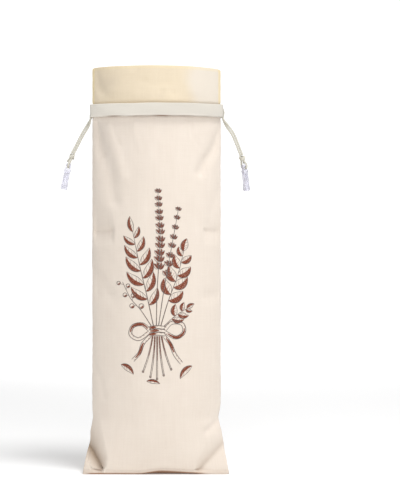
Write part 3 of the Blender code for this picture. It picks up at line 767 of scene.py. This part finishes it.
def knot_mesh(name, hang):
    """Turns of cord round each other, the loop through the pull's eye and a cut tail."""
    heart, tail_end = np.array(hang.knot), np.array(hang.tail)
    t = np.linspace(0, 1, 65)
    angle = 2 * math.pi * (2.15 * t + 0.1)
    swell = 2.05 + 0.45 * np.sin(math.pi * t)
    turns = np.column_stack((swell * np.cos(angle), 0.92 * swell * np.sin(angle),
                             5.0 * t - 2.5 + 0.55 * np.sin(angle + 0.6)))
    over = ((-2.4, -1.2, -3.1), (-2.0, -2.9, -1.3), (0.1, -3.9, 0.2), (2.2, -2.7, 1.5),
            (2.5, -0.6, 3.0))
    under = ((2.2, 1.2, -2.9), (1.9, 2.9, -1.0), (-0.1, 3.7, 0.4), (-2.1, 2.5, 1.6),
             (-1.9, 0.5, 3.2))
    half = np.array([(0.0, y, z) for y, z in LOOP_HALF])
    move = (heart - (0.0, 0.0, LOOP_TOP)) * ease((half[:, 2:] - 2.0) / (LOOP_TOP - 2.0))
    loop = np.vstack((half * (1, -1, 1) + move, (half + move)[::-1]))
    tail = (heart, (heart + tail_end) / 2 + (0.0, -0.8, 0.6), tail_end)
    meshes = []
    for part, route, diameter, spacing, cut in (
            ("turns", heart + turns, 2.7, KNOT_RINGS, False),
            ("over", heart + over, 2.6, KNOT_RINGS, False),
            ("under", heart + under, 2.6, KNOT_RINGS, False),
            ("loop", loop, 2.8, KNOT_RINGS, False), ("tail", tail, 2.7, TAIL_RINGS, True)):
        points = in_frame(hang_matrix(hang), smooth_route(route, spacing))
        meshes.append(twisted_tube(f"{name}_{part}", points, diameter, around=18, cut=cut))
    return join_meshes(name, meshes)


def eye_loop():
    """The eye through a pull: straight sides with round ends."""
    radius = EYE_HALF_WIDTH
    half_turn = math.pi * np.arange(11) / 10
    return [(radius * math.cos(start + angle), z + radius * math.sin(start + angle))
            for start, z in ((0.0, EYE_TOP - radius), (math.pi, EYE_FOOT + radius))
            for angle in half_turn]


def round_edges(bm, edges, offset):
    bmesh.ops.bevel(bm, geom=edges, offset=offset * MM, offset_type="OFFSET", segments=2,
                    profile=0.5, affect="EDGES", material=-1)


def box_object(name, size, centre, edge):
    """A helper box with rounded edges, sized in millimetres."""
    bm = bmesh.new()
    bmesh.ops.create_cube(bm, size=1.0)
    bmesh.ops.scale(bm, vec=Vector(size) * MM, verts=bm.verts)
    round_edges(bm, bm.edges[:], edge)
    bmesh.ops.translate(bm, vec=Vector(centre) * MM, verts=bm.verts)
    return new_object(name, take_mesh(bm, name))


def pull_mesh(name, hang):
    """Flat clear pull: eye, side nubs, rails round a sunk window, and a ribbed foot."""
    curve = bpy.data.curves.new(name, "CURVE")
    curve.dimensions = "2D"
    curve.fill_mode = "BOTH"
    face = PULL_THICKNESS / 2
    curve.extrude = face * MM
    sides = PULL_OUTLINE + tuple((-half, z) for half, z in reversed(PULL_OUTLINE))
    for line in (sides, eye_loop()):
        spline = curve.splines.new("POLY")
        spline.points.add(len(line) - 1)
        for target, (x, z) in zip(spline.points, line):
            target.co = (x * MM, z * MM, 0.0, 1.0)
        spline.use_cyclic_u = True
    plate = new_object(name, curve)
    bm = bmesh.new()
    bm.from_mesh(evaluated_mesh(plate))
    bpy.data.objects.remove(plate)
    bmesh.ops.remove_doubles(bm, verts=bm.verts, dist=0.00001)
    bmesh.ops.recalc_face_normals(bm, faces=bm.faces)
    rims = [edge for edge in bm.edges if edge.calc_face_angle(0.0) > math.radians(60)
            and abs(abs(edge.verts[0].co.z) - face * MM) < 0.0001
            and abs(edge.verts[0].co.z - edge.verts[1].co.z) < 0.0001]
    round_edges(bm, rims, 0.45)
    pull = new_object(name, take_mesh(bm, name))
    size = (2 * WINDOW_HALF, WINDOW_TOP - WINDOW_FOOT, PULL_THICKNESS - PULL_WEB)
    helpers = []
    for z in (-face, face):
        window = box_object("window", size, (0, (WINDOW_TOP + WINDOW_FOOT) / 2, z), 0.5)
        helpers.append((window, "DIFFERENCE"))
        for rib in range(3):
            bar = box_object("rib", (7.2, 0.8, 1.0), (0, RIB_TOP - RIB_STEP * rib, z), 0.25)
            helpers.append((bar, "UNION"))
    for helper, operation in helpers:
        step = pull.modifiers.new(helper.name, "BOOLEAN")
        step.operation = operation
        step.object = helper
    done = evaluated_mesh(pull)
    for spent in [helper for helper, _ in helpers] + [pull]:
        bpy.data.objects.remove(spent)
    matrix = hang_matrix(hang)
    matrix.translation *= MM
    done.transform(matrix @ Matrix.Rotation(math.radians(90), 4, "X"))
    done.shade_smooth()
    done.set_sharp_from_angle(angle=math.radians(35))
    done.name = name
    return done


def make_drawstrings():
    """Cords first: runs in the channels, free strands, knots and pulls."""
    string = cord_finish("twisted_cotton")
    clear = clear_finish("clear_plastic_finish")
    for side, z, lead, route, hang in (
            ("left", CORD_LOW, LEFT_LEAD, LEFT_ROUTE, LEFT_HANG),
            ("right", CORD_HIGH, RIGHT_LEAD, RIGHT_ROUTE, RIGHT_HANG)):
        run = channel_run(side, z)
        inside = twisted_tube(f"run_{side}", smooth_route(run, RUN_RINGS), CORD, around=12)
        add_piece(inside.name, inside, string, "drawstring_cotton", f"drawstring_{side}")
        knot = add_piece(f"tied_knot_{side}", knot_mesh(f"tied_knot_{side}", hang), string,
                         "drawstring_cotton", f"knot_{side}")
        pull = add_piece(f"clear_pull_{side}", pull_mesh(f"clear_pull_{side}", hang), clear,
                         "clear_plastic", f"pull_{side}")
        for where, sign, end in (("front", -1, run[0]), ("back", 1, run[-1])):
            points = smooth_route(strand_route(end, lead, route, sign), STRAND_RINGS)
            name = f"free_{side}_{where}"
            strand = add_piece(name, twisted_tube(name, points, CORD_FULL), string,
                               "drawstring_cotton", f"strand_{side}_{where}")


def around_length(angle, z):
    """Length round the bag from the right seam, for the cloth's coordinates."""
    fine = np.linspace(0.0, 2 * math.pi, 721)
    return np.interp(angle, fine, run_lengths(np.column_stack(section_place(fine, z))))


def edge_lift(x, way):
    return np.where(way > 0, 0.0, smooth_through(*zip(*EDGE_WAVE), x))


def cloth_places(angle, level, inset, z, fine=1.0):
    """Folded cloth, with its fine creases where it is the bag's own face."""
    seen_x, _ = section_place(angle, level)
    x, y = section_place(angle, level, inset)
    out_x, out_y = section_out(angle, level)
    way = np.sin(angle)
    below = ease((TAPE_FOOT - level) / 10.0)
    extra = troughs(FINE_FOLDS, way, seen_x, level) * ease(side_edge(seen_x, level) / 4.0) * below
    extra += drape(angle, seen_x, level) * ease((level - 4.0) / 12.0) * below
    depth = fold_depth(way, seen_x, level) + fine * (extra + seam_groove(seen_x, level))
    return np.column_stack((x - out_x * depth,
                            y - out_y * depth + facets(FACETS, way, seen_x, level), z))


def body_rows():
    """Heights, insets and kinds of the cloth's rows from the inner floor to the base."""
    outer = np.concatenate((np.arange(1.1, 12.0, 1.1), np.arange(13.0, 120.0, 1.9),
                            np.arange(121.0, 330.0, 2.8), np.arange(331.0, BODY_TOP, 2.1),
                            [BODY_TOP]))
    inner = np.concatenate(([LOWEST_INNER], np.arange(12.0, BODY_TOP - 2.0, 4.5), [BODY_TOP]))
    rows = [(BASE_THICKNESS, INNER_FLOOR_INSET, "floor")]
    rows += [(z, BODY_WALL, "wall") for z in inner] + [(z, 0.0, "wall") for z in outer[::-1]]
    rows += [(EDGE_LIFT, 0.0, "edge"), (0.15, 1.2, "under"), (0.0, BASE_INSET, "base")]
    return [np.array(column) for column in zip(*rows)]


def make_body():
    heights, insets, kinds = body_rows()
    steps = np.maximum(np.abs(np.diff(heights)), np.abs(np.diff(insets)))
    steps = np.concatenate(([0.0], np.cumsum(steps)))

    def rule(column, row):
        angle = round_bag(column)
        z, inset, kind = heights[row], insets[row], kinds[row]
        flat = (kind == "floor") | (kind == "base") | (kind == "under")
        level = np.where((kind == "edge") | (kind == "under"), 0.0, z)
        places = cloth_places(angle, level, inset, z.copy())
        x, y = section_place(angle, level, inset)
        places[flat, 0], places[flat, 1] = x[flat], y[flat]
        lift = edge_lift(places[:, 0], np.sin(angle))
        share = ease(1 - (z - EDGE_LIFT) / EDGE_RISE) * ((kind == "wall") | (kind == "edge"))
        places[:, 2] += lift * (share + 0.8 * (kind == "under"))
        u = around_length(2 * math.pi * column / AROUND, 300.0)
        return places, np.column_stack((u, steps[row])) * MM

    mesh = placed_grid("bag_cloth", AROUND, len(heights) - 1, rule)
    x, y, z = mesh_places(mesh).T
    front = y < 0
    # Painted shade: a darker tone in the valleys of the flat-sided folds and along the lower left
    # edge.
    crease_shade = 0.17 * ease((-76 - x) / 12) * ease((46 - z) / 20)
    for fold, deep, reach, steeper in zip(FACETS, (0.12, 0.1, 0.95, 0.28), (5, 5, 11, 5),
                                          (CREASE_SHADE_STEEPER, CREASE_SHADE_STEEPER, 0.4, CREASE_SHADE_STEEPER)):
        crease_shade += deep * facet_share(fold, x, z, reach, steeper)
    mark(mesh, "crease_shade", np.clip(crease_shade, 0, 1) * front)
    # Painted shadow: a dark brown line along the front's bottom edge where it meets and lifts off
    # the floor, and a faint painted shade over the lowest few millimetres.
    above = z - edge_lift(x, y)
    edge = ease((EDGE_SHADOW_TOP - above) / 1.4) * ease((x + 99) / 12) * ease((78 - x) / 24)
    low = ease((LOW_SHADE_TOP - above) / 3)
    mark(mesh, "edge", np.maximum(0.95 * edge, 0.14 * low) * front)
    # Its washes are painted shade in the folds and a painted shadow along the bottom edge.
    cotton = woven_finish("natural_cotton_weave", light=(0.835, 0.75, 0.662),
                          dark=(0.745, 0.65, 0.56), pitch=0.62, slub=0.5, relief=0.35, fleck=0.1,
                          streak=0.4, washes=(("crease_shade", (0.38, 0.285, 0.205)),
                                              ("edge", (0.27, 0.115, 0.04))))
    return add_piece("bag_cloth", mesh, cotton, "natural_cotton", "bag_body")


def cuff_inset(z):
    return (BODY_WALL + GAP) * ease((CUFF_SPREAD - z) / (CUFF_SPREAD - BODY_TOP))


def rim_drop(x, z):
    share = ease((z - TAPE_TOP) / (RIM - TAPE_TOP))
    corner = RIM_CORNER_DROP * np.exp(-((FULL_HALF - np.abs(x)) / RIM_CORNER_WIDTH) ** 2)
    return (corner + RIM_DROP_RIGHT * np.maximum(x / FULL_HALF, 0.0) ** 2) * share


def make_cuff():
    """The cream cuff, with a soft folded rim."""
    heights = np.concatenate((np.linspace(CUFF_FOOT, BODY_TOP, 16), [505.0, 506.2, 507.6],
                              np.arange(CUFF_SPREAD, RIM - 2.0, 1.9)))
    rim = ((1.1, 0.02), (0.45, 0.12), (0.1, 0.33))
    outer = [(z, 0.0) for z in heights] + [(RIM - drop, inset) for drop, inset in rim]
    inner = [(RIM - drop, CUFF_WALL - inset) for drop, inset in reversed(rim)]
    inner += [(z, CUFF_WALL) for z in heights[::-2]]
    rows = np.array(outer + [(RIM, 0.6)] + inner + outer[:1])
    steps = np.concatenate(([0.0], np.cumsum(np.maximum(np.abs(np.diff(rows[:, 0])), 0.3))))

    def rule(column, row):
        angle = round_bag(column)
        z = rows[row, 0]
        places = cloth_places(angle, z, cuff_inset(z) + rows[row, 1], z.copy(), fine=0.0)
        x = places[:, 0].copy()
        wave = (0.55 * np.sin(x / 21.0 + 0.8) * np.sin(z / 26.0)
                + 0.25 * np.sin(x / 8.0 + z / 30.0) + 0.12 * np.sin(x / 3.7 - z / 17.0))
        wave += troughs(CUFF_FOLDS, np.sin(angle), x, z)
        wave *= ease((z - CUFF_SPREAD) / 14.0) * ease((FULL_HALF - np.abs(x)) / 10.0)
        in_by = np.column_stack(section_out(angle, z)) * (seam_groove(x, z) + wave)[:, None]
        places[:, :2] -= in_by
        places[:, 2] -= rim_drop(places[:, 0], z)
        u = around_length(2 * math.pi * column / AROUND, 520.0)
        return places, np.column_stack((u, steps[row])) * MM

    mesh = placed_grid("cuff_cloth", AROUND, len(rows) - 1, rule)
    x, y, z = mesh_places(mesh).T
    # The yellower side edges and rim: partly the hem's own tone, partly painted light shining
    # through the thin cloth.
    hem_and_glow = ease((np.abs(x) - 84.6) / 1.4)
    top = ease((z - RIM + rim_drop(x, RIM) + 4.6) / 2.0)
    mark(mesh, "hem_and_glow", np.clip(np.where(x < 0, 0.85, 0.6) * hem_and_glow + 0.35 * top, 0.0, 1.0))
    # Painted light: the right part of the cuff is made paler where more light falls, behind a wavy
    # border.
    bay = np.sin(z / 9.0 + x / 30.0)
    mark(mesh, "pale", ease((x - 36.0 - 4.0 * bay) / 22.0) * (1 - hem_and_glow))
    # Painted shade in soft patches on the front of the cuff.
    shade_patch = sum(deep * np.exp(-((x - at_x) / wide) ** 2 - ((z - at_z) / tall) ** 2)
                 for deep, at_x, wide, at_z, tall in ((1.0, -66, 15.0, 534, 9.0),
                                                      (0.8, 6, 5.0, 514, 4.0),
                                                      (0.5, -18, 16.0, 512, 5.0)))
    mark(mesh, "shade_patch", 0.35 * shade_patch * (y < 0))
    # Its washes are painted light on the right part, painted shade in patches, and a yellower hem
    # that is partly painted light shining through.
    cream = woven_finish("cream_cotton_weave", light=(0.81, 0.70, 0.54), dark=(0.715, 0.60, 0.43),
                         pitch=0.55, slub=0.5, relief=0.3,
                         washes=(("pale", (0.76, 0.685, 0.585)), ("shade_patch", (0.62, 0.52, 0.40)),
                                 ("hem_and_glow", (0.84, 0.69, 0.40))))
    return add_piece("cuff_cloth", mesh, cream, "cream_cotton", "collar")


def tape_loop():
    """Section of the tape: sewn hems, crisp edges and a flat raised face."""
    lift = GAP + CORD + GAP
    face = lift + TAPE_WALL
    outer = [(GAP + TAPE_WALL, 0.9), (face - 2.2, 0.5), (face - 1.5, 0.1), (face - 1.1, 0.1),
             (face - 0.5, 0.7), (face - 0.1, 1.15), (face, 1.5), (face, 2.4)]
    outer += [(face + 0.12 * math.sin(math.pi * k / 8), 2.2 + 13.6 * k / 8) for k in range(1, 8)]
    outer += [(face, 15.8), (face, 17.2), (face - 0.12, 17.75), (face - 0.5, 17.98),
              (face - 1.3, 17.9), (GAP + TAPE_WALL, 17.6)]
    inner = [(GAP, 17.5), (GAP, TAPE_HEIGHT - TAPE_HEM), (lift, TAPE_HEIGHT - TAPE_SHOULDER),
             (lift, TAPE_HEIGHT / 2), (lift, TAPE_SHOULDER), (GAP, TAPE_HEM), (GAP, 1.0)]
    return np.array(outer + inner), face


def tape_height(x, z):
    """Height of a place on the tape. Its edges dip in the middle and wander a little."""
    sway = 0.35 * np.sin(x / 23.0 + 0.9) + 0.18 * np.sin(x / 8.1 + 2.2)
    return TAPE_FOOT + z - tape_dip(x) + sway * (0.4 + z / 30.0)


def make_tape(name, way, node, finish):
    places, out = neck_track(way, MOUTH, TAPE_STEP)
    loop, face = tape_loop()
    last = len(places) - 1
    rise = run_lengths(loop)
    rise = np.append(rise, rise[-1] + 0.3)

    def rule(column, row):
        away, z = loop[row % len(loop)].T
        x = places[column, 0]
        to_end = np.minimum(column, last - column)
        spread = np.where(x > 0, TAPE_SPREAD_RIGHT, TAPE_SPREAD_LEFT)
        away = away + spread * ease(1 - to_end * TAPE_STEP / TAPE_FLARE) * (0.2 + 0.8 * away / face)
        loose = 0.5 + 0.5 * np.sin(x / 14.0 + way) * np.sin(x / 37.0 + 0.4)
        away = away + np.where(z < 2.0, 0.5 * loose * ease(to_end / 9.0), 0.0)
        away = away + np.where((z > 3.0) & (z < 15.0), 0.18 * np.sin(x / 11.0 + z / 9.0), 0.0)
        at = places[column] + out[column] * away[:, None]
        return (np.column_stack((at, tape_height(x, z))),
                np.column_stack((column * TAPE_STEP, rise[row])) * MM)

    mesh = placed_grid(name, last, len(loop), rule)
    x, _, z = mesh_places(mesh).T
    pocket = np.clip(0.55 + 0.25 * np.sin(x / 12.6 + 0.9) + 0.2 * np.sin(x / 5.3), 0, 1)
    pocket *= ease((80.0 - np.abs(x)) / 26.0)
    mark(mesh, "shade", 0.9 * pocket * (z - tape_height(x, 0.0) < 1.3))
    mark(mesh, "dull", 0.9 * ease((x + 95.0) / 130.0))
    return add_piece(name, mesh, finish, "tape_cotton", node)


def make_stitches(name, way, finish):
    """Sewn lines along both edges of the tape: short raised stitches in a row."""
    places, out = neck_track(way, MOUTH, STITCH_STEP)
    _, face = tape_loop()
    bm = bmesh.new()
    for z in (STITCH_IN, TAPE_HEIGHT - STITCH_IN):
        for k in range(1, len(places) - 1):
            along = Vector((*(places[k + 1] - places[k - 1]), 0.0)).normalized()
            normal = Vector((*out[k], 0.0))
            middle = Vector((*(places[k] + out[k] * (face - 0.2)), tape_height(places[k, 0], z)))
            made = bmesh.ops.create_icosphere(bm, subdivisions=1, radius=1.0)["verts"]
            turn = Matrix((along, normal, along.cross(normal))).transposed().to_4x4()
            size = Matrix.Diagonal((0.95, 0.22, 0.26, 1.0))
            bmesh.ops.transform(bm, verts=made, matrix=Matrix.Scale(MM, 4)
                                @ Matrix.Translation(middle) @ turn @ size)
    mesh = take_mesh(bm, name)
    mesh.shade_smooth()
    return add_piece(name, mesh, finish, "tape_cotton")


def thread_finish(name):
    finish, tree, shader = new_finish(name, roughness=0.75, sheen=0.2)
    twist = place_noise(tree, 1400.0, 1.0)
    link_finish(tree, shader, mix_colour(tree, twist, (0.66, 0.61, 0.52), (0.82, 0.78, 0.70)))
    return finish


def make_tapes():
    tape = woven_finish("neck_tape_weave", light=(0.83, 0.785, 0.71), dark=(0.75, 0.70, 0.615),
                        pitch=0.5, slub=0.45, relief=0.35, twill=1.0,
                        washes=(("dull", (0.66, 0.62, 0.55)), ("shade", (0.20, 0.11, 0.06))))
    thread = thread_finish("sewing_thread")
    pieces = []
    for name, way, node in (("neck_tape_front", -1, "casing_front"),
                            ("neck_tape_back", 1, "casing_back")):
        pieces.append(make_tape(name, way, node, tape))
        pieces.append(make_stitches(name.replace("tape", "stitches"), way, thread))
    return pieces


def stage_plane(name, size, finish, turn=0.0, place=(0.0, 0.0, 0.0)):
    bm = bmesh.new()
    bmesh.ops.create_grid(bm, x_segments=1, y_segments=1, size=size)
    bm.transform(Matrix.Translation(place) @ Matrix.Rotation(turn, 4, "X"))
    plane = new_object(name, take_mesh(bm, name))
    plane.data.materials.append(finish)


# Drawing on the front, as (x, z): each stroke is a line with a width at every point.
Stroke = namedtuple("Stroke", "ink tier points widths")
TIERS = (0.05, 0.09, 0.13)
INK_THICKNESS = 0.04
THINNEST = 0.14
LINE_STEP = 1.7


def stroke(ink, tier, points, *widths):
    points = np.asarray(points, float)
    spread = np.interp(np.linspace(0, 1, len(points)), np.linspace(0, 1, len(widths)), widths)
    return Stroke(ink, tier, points, np.maximum(spread, THINNEST))


def stem_line(route):
    """A smooth line through a route, with its way ahead at each point but the last."""
    stem = smooth_route(route, LINE_STEP)
    return stem, unit(np.diff(stem, axis=0))


outline = partial(stroke, "grey", 2)
shading = partial(stroke, "rust", 0)


def bowed(start, end, bow, count):
    """Points from start to end, bowed to one side by a share of the length."""
    start, end = np.array(start, float), np.array(end, float)
    t = np.linspace(0, 1, count)
    along = end - start
    side = np.array((-along[1], along[0]))
    return start + np.outer(t, along) + np.outer(bow * 4 * t * (1 - t), side)


def crosswise(points):
    along = unit(np.gradient(points, axis=0))
    return np.column_stack((-along[:, 1], along[:, 0]))


def turned(direction, degrees):
    c, s = math.cos(math.radians(degrees)), math.sin(math.radians(degrees))
    return np.array((c * direction[0] - s * direction[1], s * direction[0] + c * direction[1]))


def draw_leaf(base, tip, wide, bow, shade, veins=4):
    """A leaf: outline, midrib, one half shaded, veins across the other half."""
    count = 13
    t = np.linspace(0, 1, count)
    spine = bowed(base, tip, bow, count)
    side = crosswise(spine)
    half = wide / 2 * np.sin(np.pi * t ** 0.85) ** 0.85
    dark, light = spine + side * (shade * half)[:, None], spine - side * (shade * half)[:, None]
    strokes = [Stroke("rust", 0, (spine + dark) / 2, np.maximum(half * 0.9, THINNEST)),
               outline(dark, 0.5, 1.0, 0.8, 0.3), outline(light, 0.4, 0.7, 0.3),
               stroke("rust", 1, spine, 0.9, 0.7, 0.3)]
    for k in range(veins):
        i = 2 + round(k * (count - 6) / max(veins - 1, 1))
        reach = spine[i + 2] - side[i + 2] * shade * half[i + 2] * 0.82
        strokes.append(stroke("rust" if k % 2 else "grey", 1, bowed(spine[i], reach, 0.08, 5),
                              0.6, 0.2))
    return strokes


def draw_branch(route, leaves, long, wide, first=0.22, spread=38.0, width=1.3):
    """A stem with leaves in turn on its two sides, and one at its tip."""
    stem, ahead = stem_line(route)
    strokes = [outline(stem, width, width * 0.45)]
    for k in range(leaves):
        share = first + (0.94 - first) * k / max(leaves - 1, 1)
        i = min(len(ahead) - 1, round(share * len(ahead)))
        hand = 1 if k % 2 else -1
        size = 0.72 + 0.42 * math.sin(math.pi * min(1.0, share * 1.05)) - 0.12 * share
        tip = stem[i] + turned(ahead[i], hand * (spread + 5 * math.sin(2.3 * k))) * long * size
        strokes += draw_leaf(stem[i], tip, wide * size, 0.10 * hand, hand)
    return strokes + draw_leaf(stem[-1], stem[-1] + ahead[-1] * long * 0.8, wide * 0.75, 0.06, 1)


def draw_bud(base, tip, wide):
    t = np.linspace(0, 1, 8)
    spine = bowed(base, tip, 0.0, 8)
    half = wide / 2 * np.sin(np.pi * t ** 0.7) ** 0.8
    out = crosswise(spine) * half[:, None]
    return [Stroke("rust", 0, spine - out * 0.25, np.maximum(half * 1.25, THINNEST)),
            outline(spine + out, 0.4, 0.75, 0.3),
            outline(spine - out, 0.4, 0.75, 0.3)]


def draw_flower(route, rings, long, wide):
    """A flower head of small buds in rings up its stem."""
    stem, ahead = stem_line(route)
    strokes = [outline(stem, 1.2, 0.6)]
    for ring in range(rings):
        i = min(len(ahead) - 1, round((0.42 + 0.56 * ring / (rings - 1)) * len(ahead)))
        size = 1.0 - 0.4 * ring / rings
        for degrees in (-46, 44, -18, 16):
            tip = stem[i] + turned(ahead[i], degrees + 4 * math.sin(ring)) * long * size
            strokes += draw_bud(stem[i] + turned(ahead[i], degrees) * 0.8, tip, wide * size)
    return strokes


def circle_part(start, end, count, radius, place):
    angle = np.linspace(start, end, count)
    return np.column_stack((np.cos(angle), np.sin(angle))) * radius + place


def draw_berry(place, radius):
    ring = circle_part(0, 2 * math.pi, 19, radius, place)
    return [outline(ring, 0.7, 0.9, 0.7),
            shading(circle_part(-2.6, 0.6, 9, radius * 0.55, place), 0.3, radius * 0.85,
                   radius * 0.7, 0.3)]


def draw_spray(route, berries, radius):
    """A thin stem with berries on short stalks."""
    stem, ahead = stem_line(route)
    strokes = [outline(stem, 1.1, 0.6)]
    for k in range(berries):
        i = min(len(ahead) - 1, round((0.35 + 0.6 * k / (berries - 1)) * len(ahead)))
        out = turned(ahead[i], 52 if k % 2 else -48)
        place = stem[i] + out * (5.5 + 0.8 * (k % 3))
        strokes.append(stroke("grey", 1, bowed(stem[i], place - out * radius, 0.1, 5), 0.6, 0.4))
        strokes += draw_berry(place, radius * (1.0 - 0.05 * k))
    return strokes


def draw_band(route, wide, shaded, hatch=0):
    """A ribbon: two edges, a part shaded, and short hatching across."""
    middle = smooth_route(route, LINE_STEP)
    side = crosswise(middle) * wide / 2
    last = len(middle) - 1
    start = round(shaded[0] * last)
    part = middle[start:max(start + 2, round(shaded[1] * last)) + 1]
    strokes = [outline(middle + side, 0.7, 1.0, 0.6),
               outline(middle - side, 0.6, 0.9, 0.7),
               shading(part, wide * 0.3, wide * 0.9, wide * 0.3)]
    for k in range(hatch):
        i = min(last - 1, round((k + 0.5) * last / hatch))
        end = middle[i] + side[i] * 0.1 + (middle[i + 1] - middle[i])
        strokes.append(stroke("rust", 1, bowed(middle[i] + side[i] * 0.9, end, 0.1, 4), 0.6, 0.2))
    return strokes


def draw_bunch():
    """A tied bunch of garden herbs: leafy branches, flower heads, berries and a bow."""
    strokes = []
    for draw, *shape in (
            (draw_branch, ((-3, 203), (-11, 240), (-22, 286), (-31, 330)), 11, 27.0, 10.5),
            (draw_branch, ((7, 203), (17, 236), (30, 272), (38, 304)), 8, 22.0, 13.0, 0.34),
            (draw_flower, ((1, 203), (2, 250), (6, 320), (3, 386)), 12, 10.5, 5.2),
            (draw_flower, ((4, 203), (11, 250), (22, 312), (31, 362)), 8, 9.0, 4.6),
            (draw_spray, ((-6, 203), (-20, 224), (-34, 240), (-45, 262)), 6, 3.3),
            (draw_branch, ((11, 202), (26, 216), (42, 226)), 5, 15.0, 8.0, 0.4, 46.0, 1.0),
            (draw_stalk, -4, (-17, 141), 0.03),
            (draw_stalk, -1, (-7, 134), 0.02),
            (draw_stalk, 2, (2, 131), 0.0),
            (draw_stalk, 5, (11, 136), -0.02),
            (draw_stalk, 8, (21, 144), -0.03),
            (draw_band, ((-9, 200.0), (2, 201.3), (13, 200.2)), 4.0, (0.0, 0.45), 5),
            (draw_band, ((-9, 195.5), (2, 196.8), (13, 195.7)), 4.0, (0.1, 0.6), 5),
            (draw_band, ((-9, 191.0), (2, 192.3), (13, 191.2)), 4.0, (0.0, 0.5), 5),
            (draw_band, ((12, 197), (22, 207), (36, 205), (38, 194), (28, 187), (13, 194)), 4.2,
             (0.5, 0.95), 12),
            (draw_band, ((-8, 197), (-18, 205), (-31, 202), (-34, 191), (-23, 185), (-9, 194)),
             4.2, (0.05, 0.5), 12),
            (draw_band, ((11, 190), (20, 178), (26, 164), (35, 152)), 4.0, (0.1, 0.6), 8),
            (draw_band, ((-7, 190), (-17, 179), (-22, 166), (-31, 156)), 4.0, (0.3, 0.9), 8),
            (draw_leaf, (-47, 150), (-30, 137), 8.0, 0.1, 1),
            (draw_leaf, (49, 148), (33, 131), 8.0, -0.1, -1),
            (draw_leaf, (-12, 128), (6, 124.5), 5.5, 0.08, 1, 3)):
        strokes += draw(*shape)
    return strokes


def draw_stalk(x, foot, bow):
    line = bowed((x, 189), foot, bow, 22)
    return [outline(line - (0.8, 0), 0.7, 0.8), outline(line + (0.8, 0), 0.6, 0.7),
            shading(line[:13] + (0.2, 0), 1.3, 0.3)] + draw_berry(np.array(foot), 1.2)


def lay_stroke(bm, line, tree):
    """A closed strip of ink along a stroke, laid on the cloth."""
    points, widths = line.points, line.widths
    side = crosswise(points)
    low = TIERS[line.tier]
    edges = []
    for hand in (-1, 1):
        laid = []
        for x, z in points + side * (hand * widths / 2)[:, None]:
            place, normal, _, _ = tree.ray_cast(Vector((x, -300.0, z)) * MM, Vector((0, 1, 0)))
            laid.append((place + normal * low * MM, place + normal * (low + INK_THICKNESS) * MM))
        edges.append(laid)
    ring = ((0, 1), (1, 1), (1, 0), (0, 0), (0, 1))
    last = len(points) - 1
    made = bmesh.ops.create_grid(bm, x_segments=4, y_segments=last, size=1.0)["verts"]
    for vert in made:
        edge, layer = ring[round((vert.co.x + 1) * 2)]
        vert.co = edges[edge][round((vert.co.y + 1) / 2 * last)][layer]


def make_print(body):
    """The printed picture, in two inks."""
    tree = BVHTree.FromObject(body, bpy.context.evaluated_depsgraph_get())
    strokes = draw_bunch()
    pieces = []
    for ink, colour, worn in (("rust", (0.20, 0.045, 0.022), (0.62, 0.42, 0.33)),
                              ("grey", (0.13, 0.095, 0.085), (0.60, 0.52, 0.46))):
        bm = bmesh.new()
        for line in strokes:
            if line.ink == ink:
                lay_stroke(bm, line, tree)
        mesh = closed_mesh(bm, f"print_{ink}", 0.000001)
        pieces.append(add_piece(mesh.name, mesh, ink_finish(f"{ink}_ink", colour, worn),
                                "natural_cotton"))
    return pieces


def make_stage():
    """A white studio: pale floor and a bright wall behind it."""
    floor, _, _ = new_finish("pale_floor", roughness=0.8, colour=(0.93, 0.93, 0.93, 1.0),
                             specular=0.0, glow_colour=WHITE, glow=0.11)
    stage_plane("floor", 5.0, floor)
    wall, _, _ = new_finish("white_wall", roughness=0.8, colour=(0.2, 0.2, 0.2, 1.0),
                            glow_colour=WHITE, glow=0.98)
    stage_plane("wall", 0.7, wall, math.radians(90), (VIEW_X * MM, WALL_BACK * MM, VIEW_Z * MM))


def area_light(name, place, aim, size, power):
    data = bpy.data.lights.new(name, "AREA")
    data.shape = "DISK"
    data.size = size
    data.energy = power
    light = new_object(name, data)
    light.location = place
    light.rotation_euler = (Vector(aim) - Vector(place)).to_track_quat("-Z", "Y").to_euler()


def make_light():
    scene = bpy.context.scene
    scene.world = bpy.data.worlds.new("studio")
    scene.world.use_nodes = True
    sky = scene.world.node_tree.nodes["Background"]
    sky.inputs[0].default_value = WHITE
    sky.inputs[1].default_value = 0.46
    area_light("key", place=(0.70, -0.80, 2.7), aim=(0.0, 0.0, 0.2), size=0.9, power=39.5)
    area_light("fill", place=(0.1, -1.6, 1.1), aim=(0.0, 0.0, 0.3), size=1.2, power=8.6)
    scene.view_settings.view_transform = "Standard"
    scene.view_settings.look = "None"


make_camera()
make_drawstrings()
body = make_body()
cuff = make_cuff()
tapes = make_tapes()
prints = make_print(body)
make_stage()
make_light()
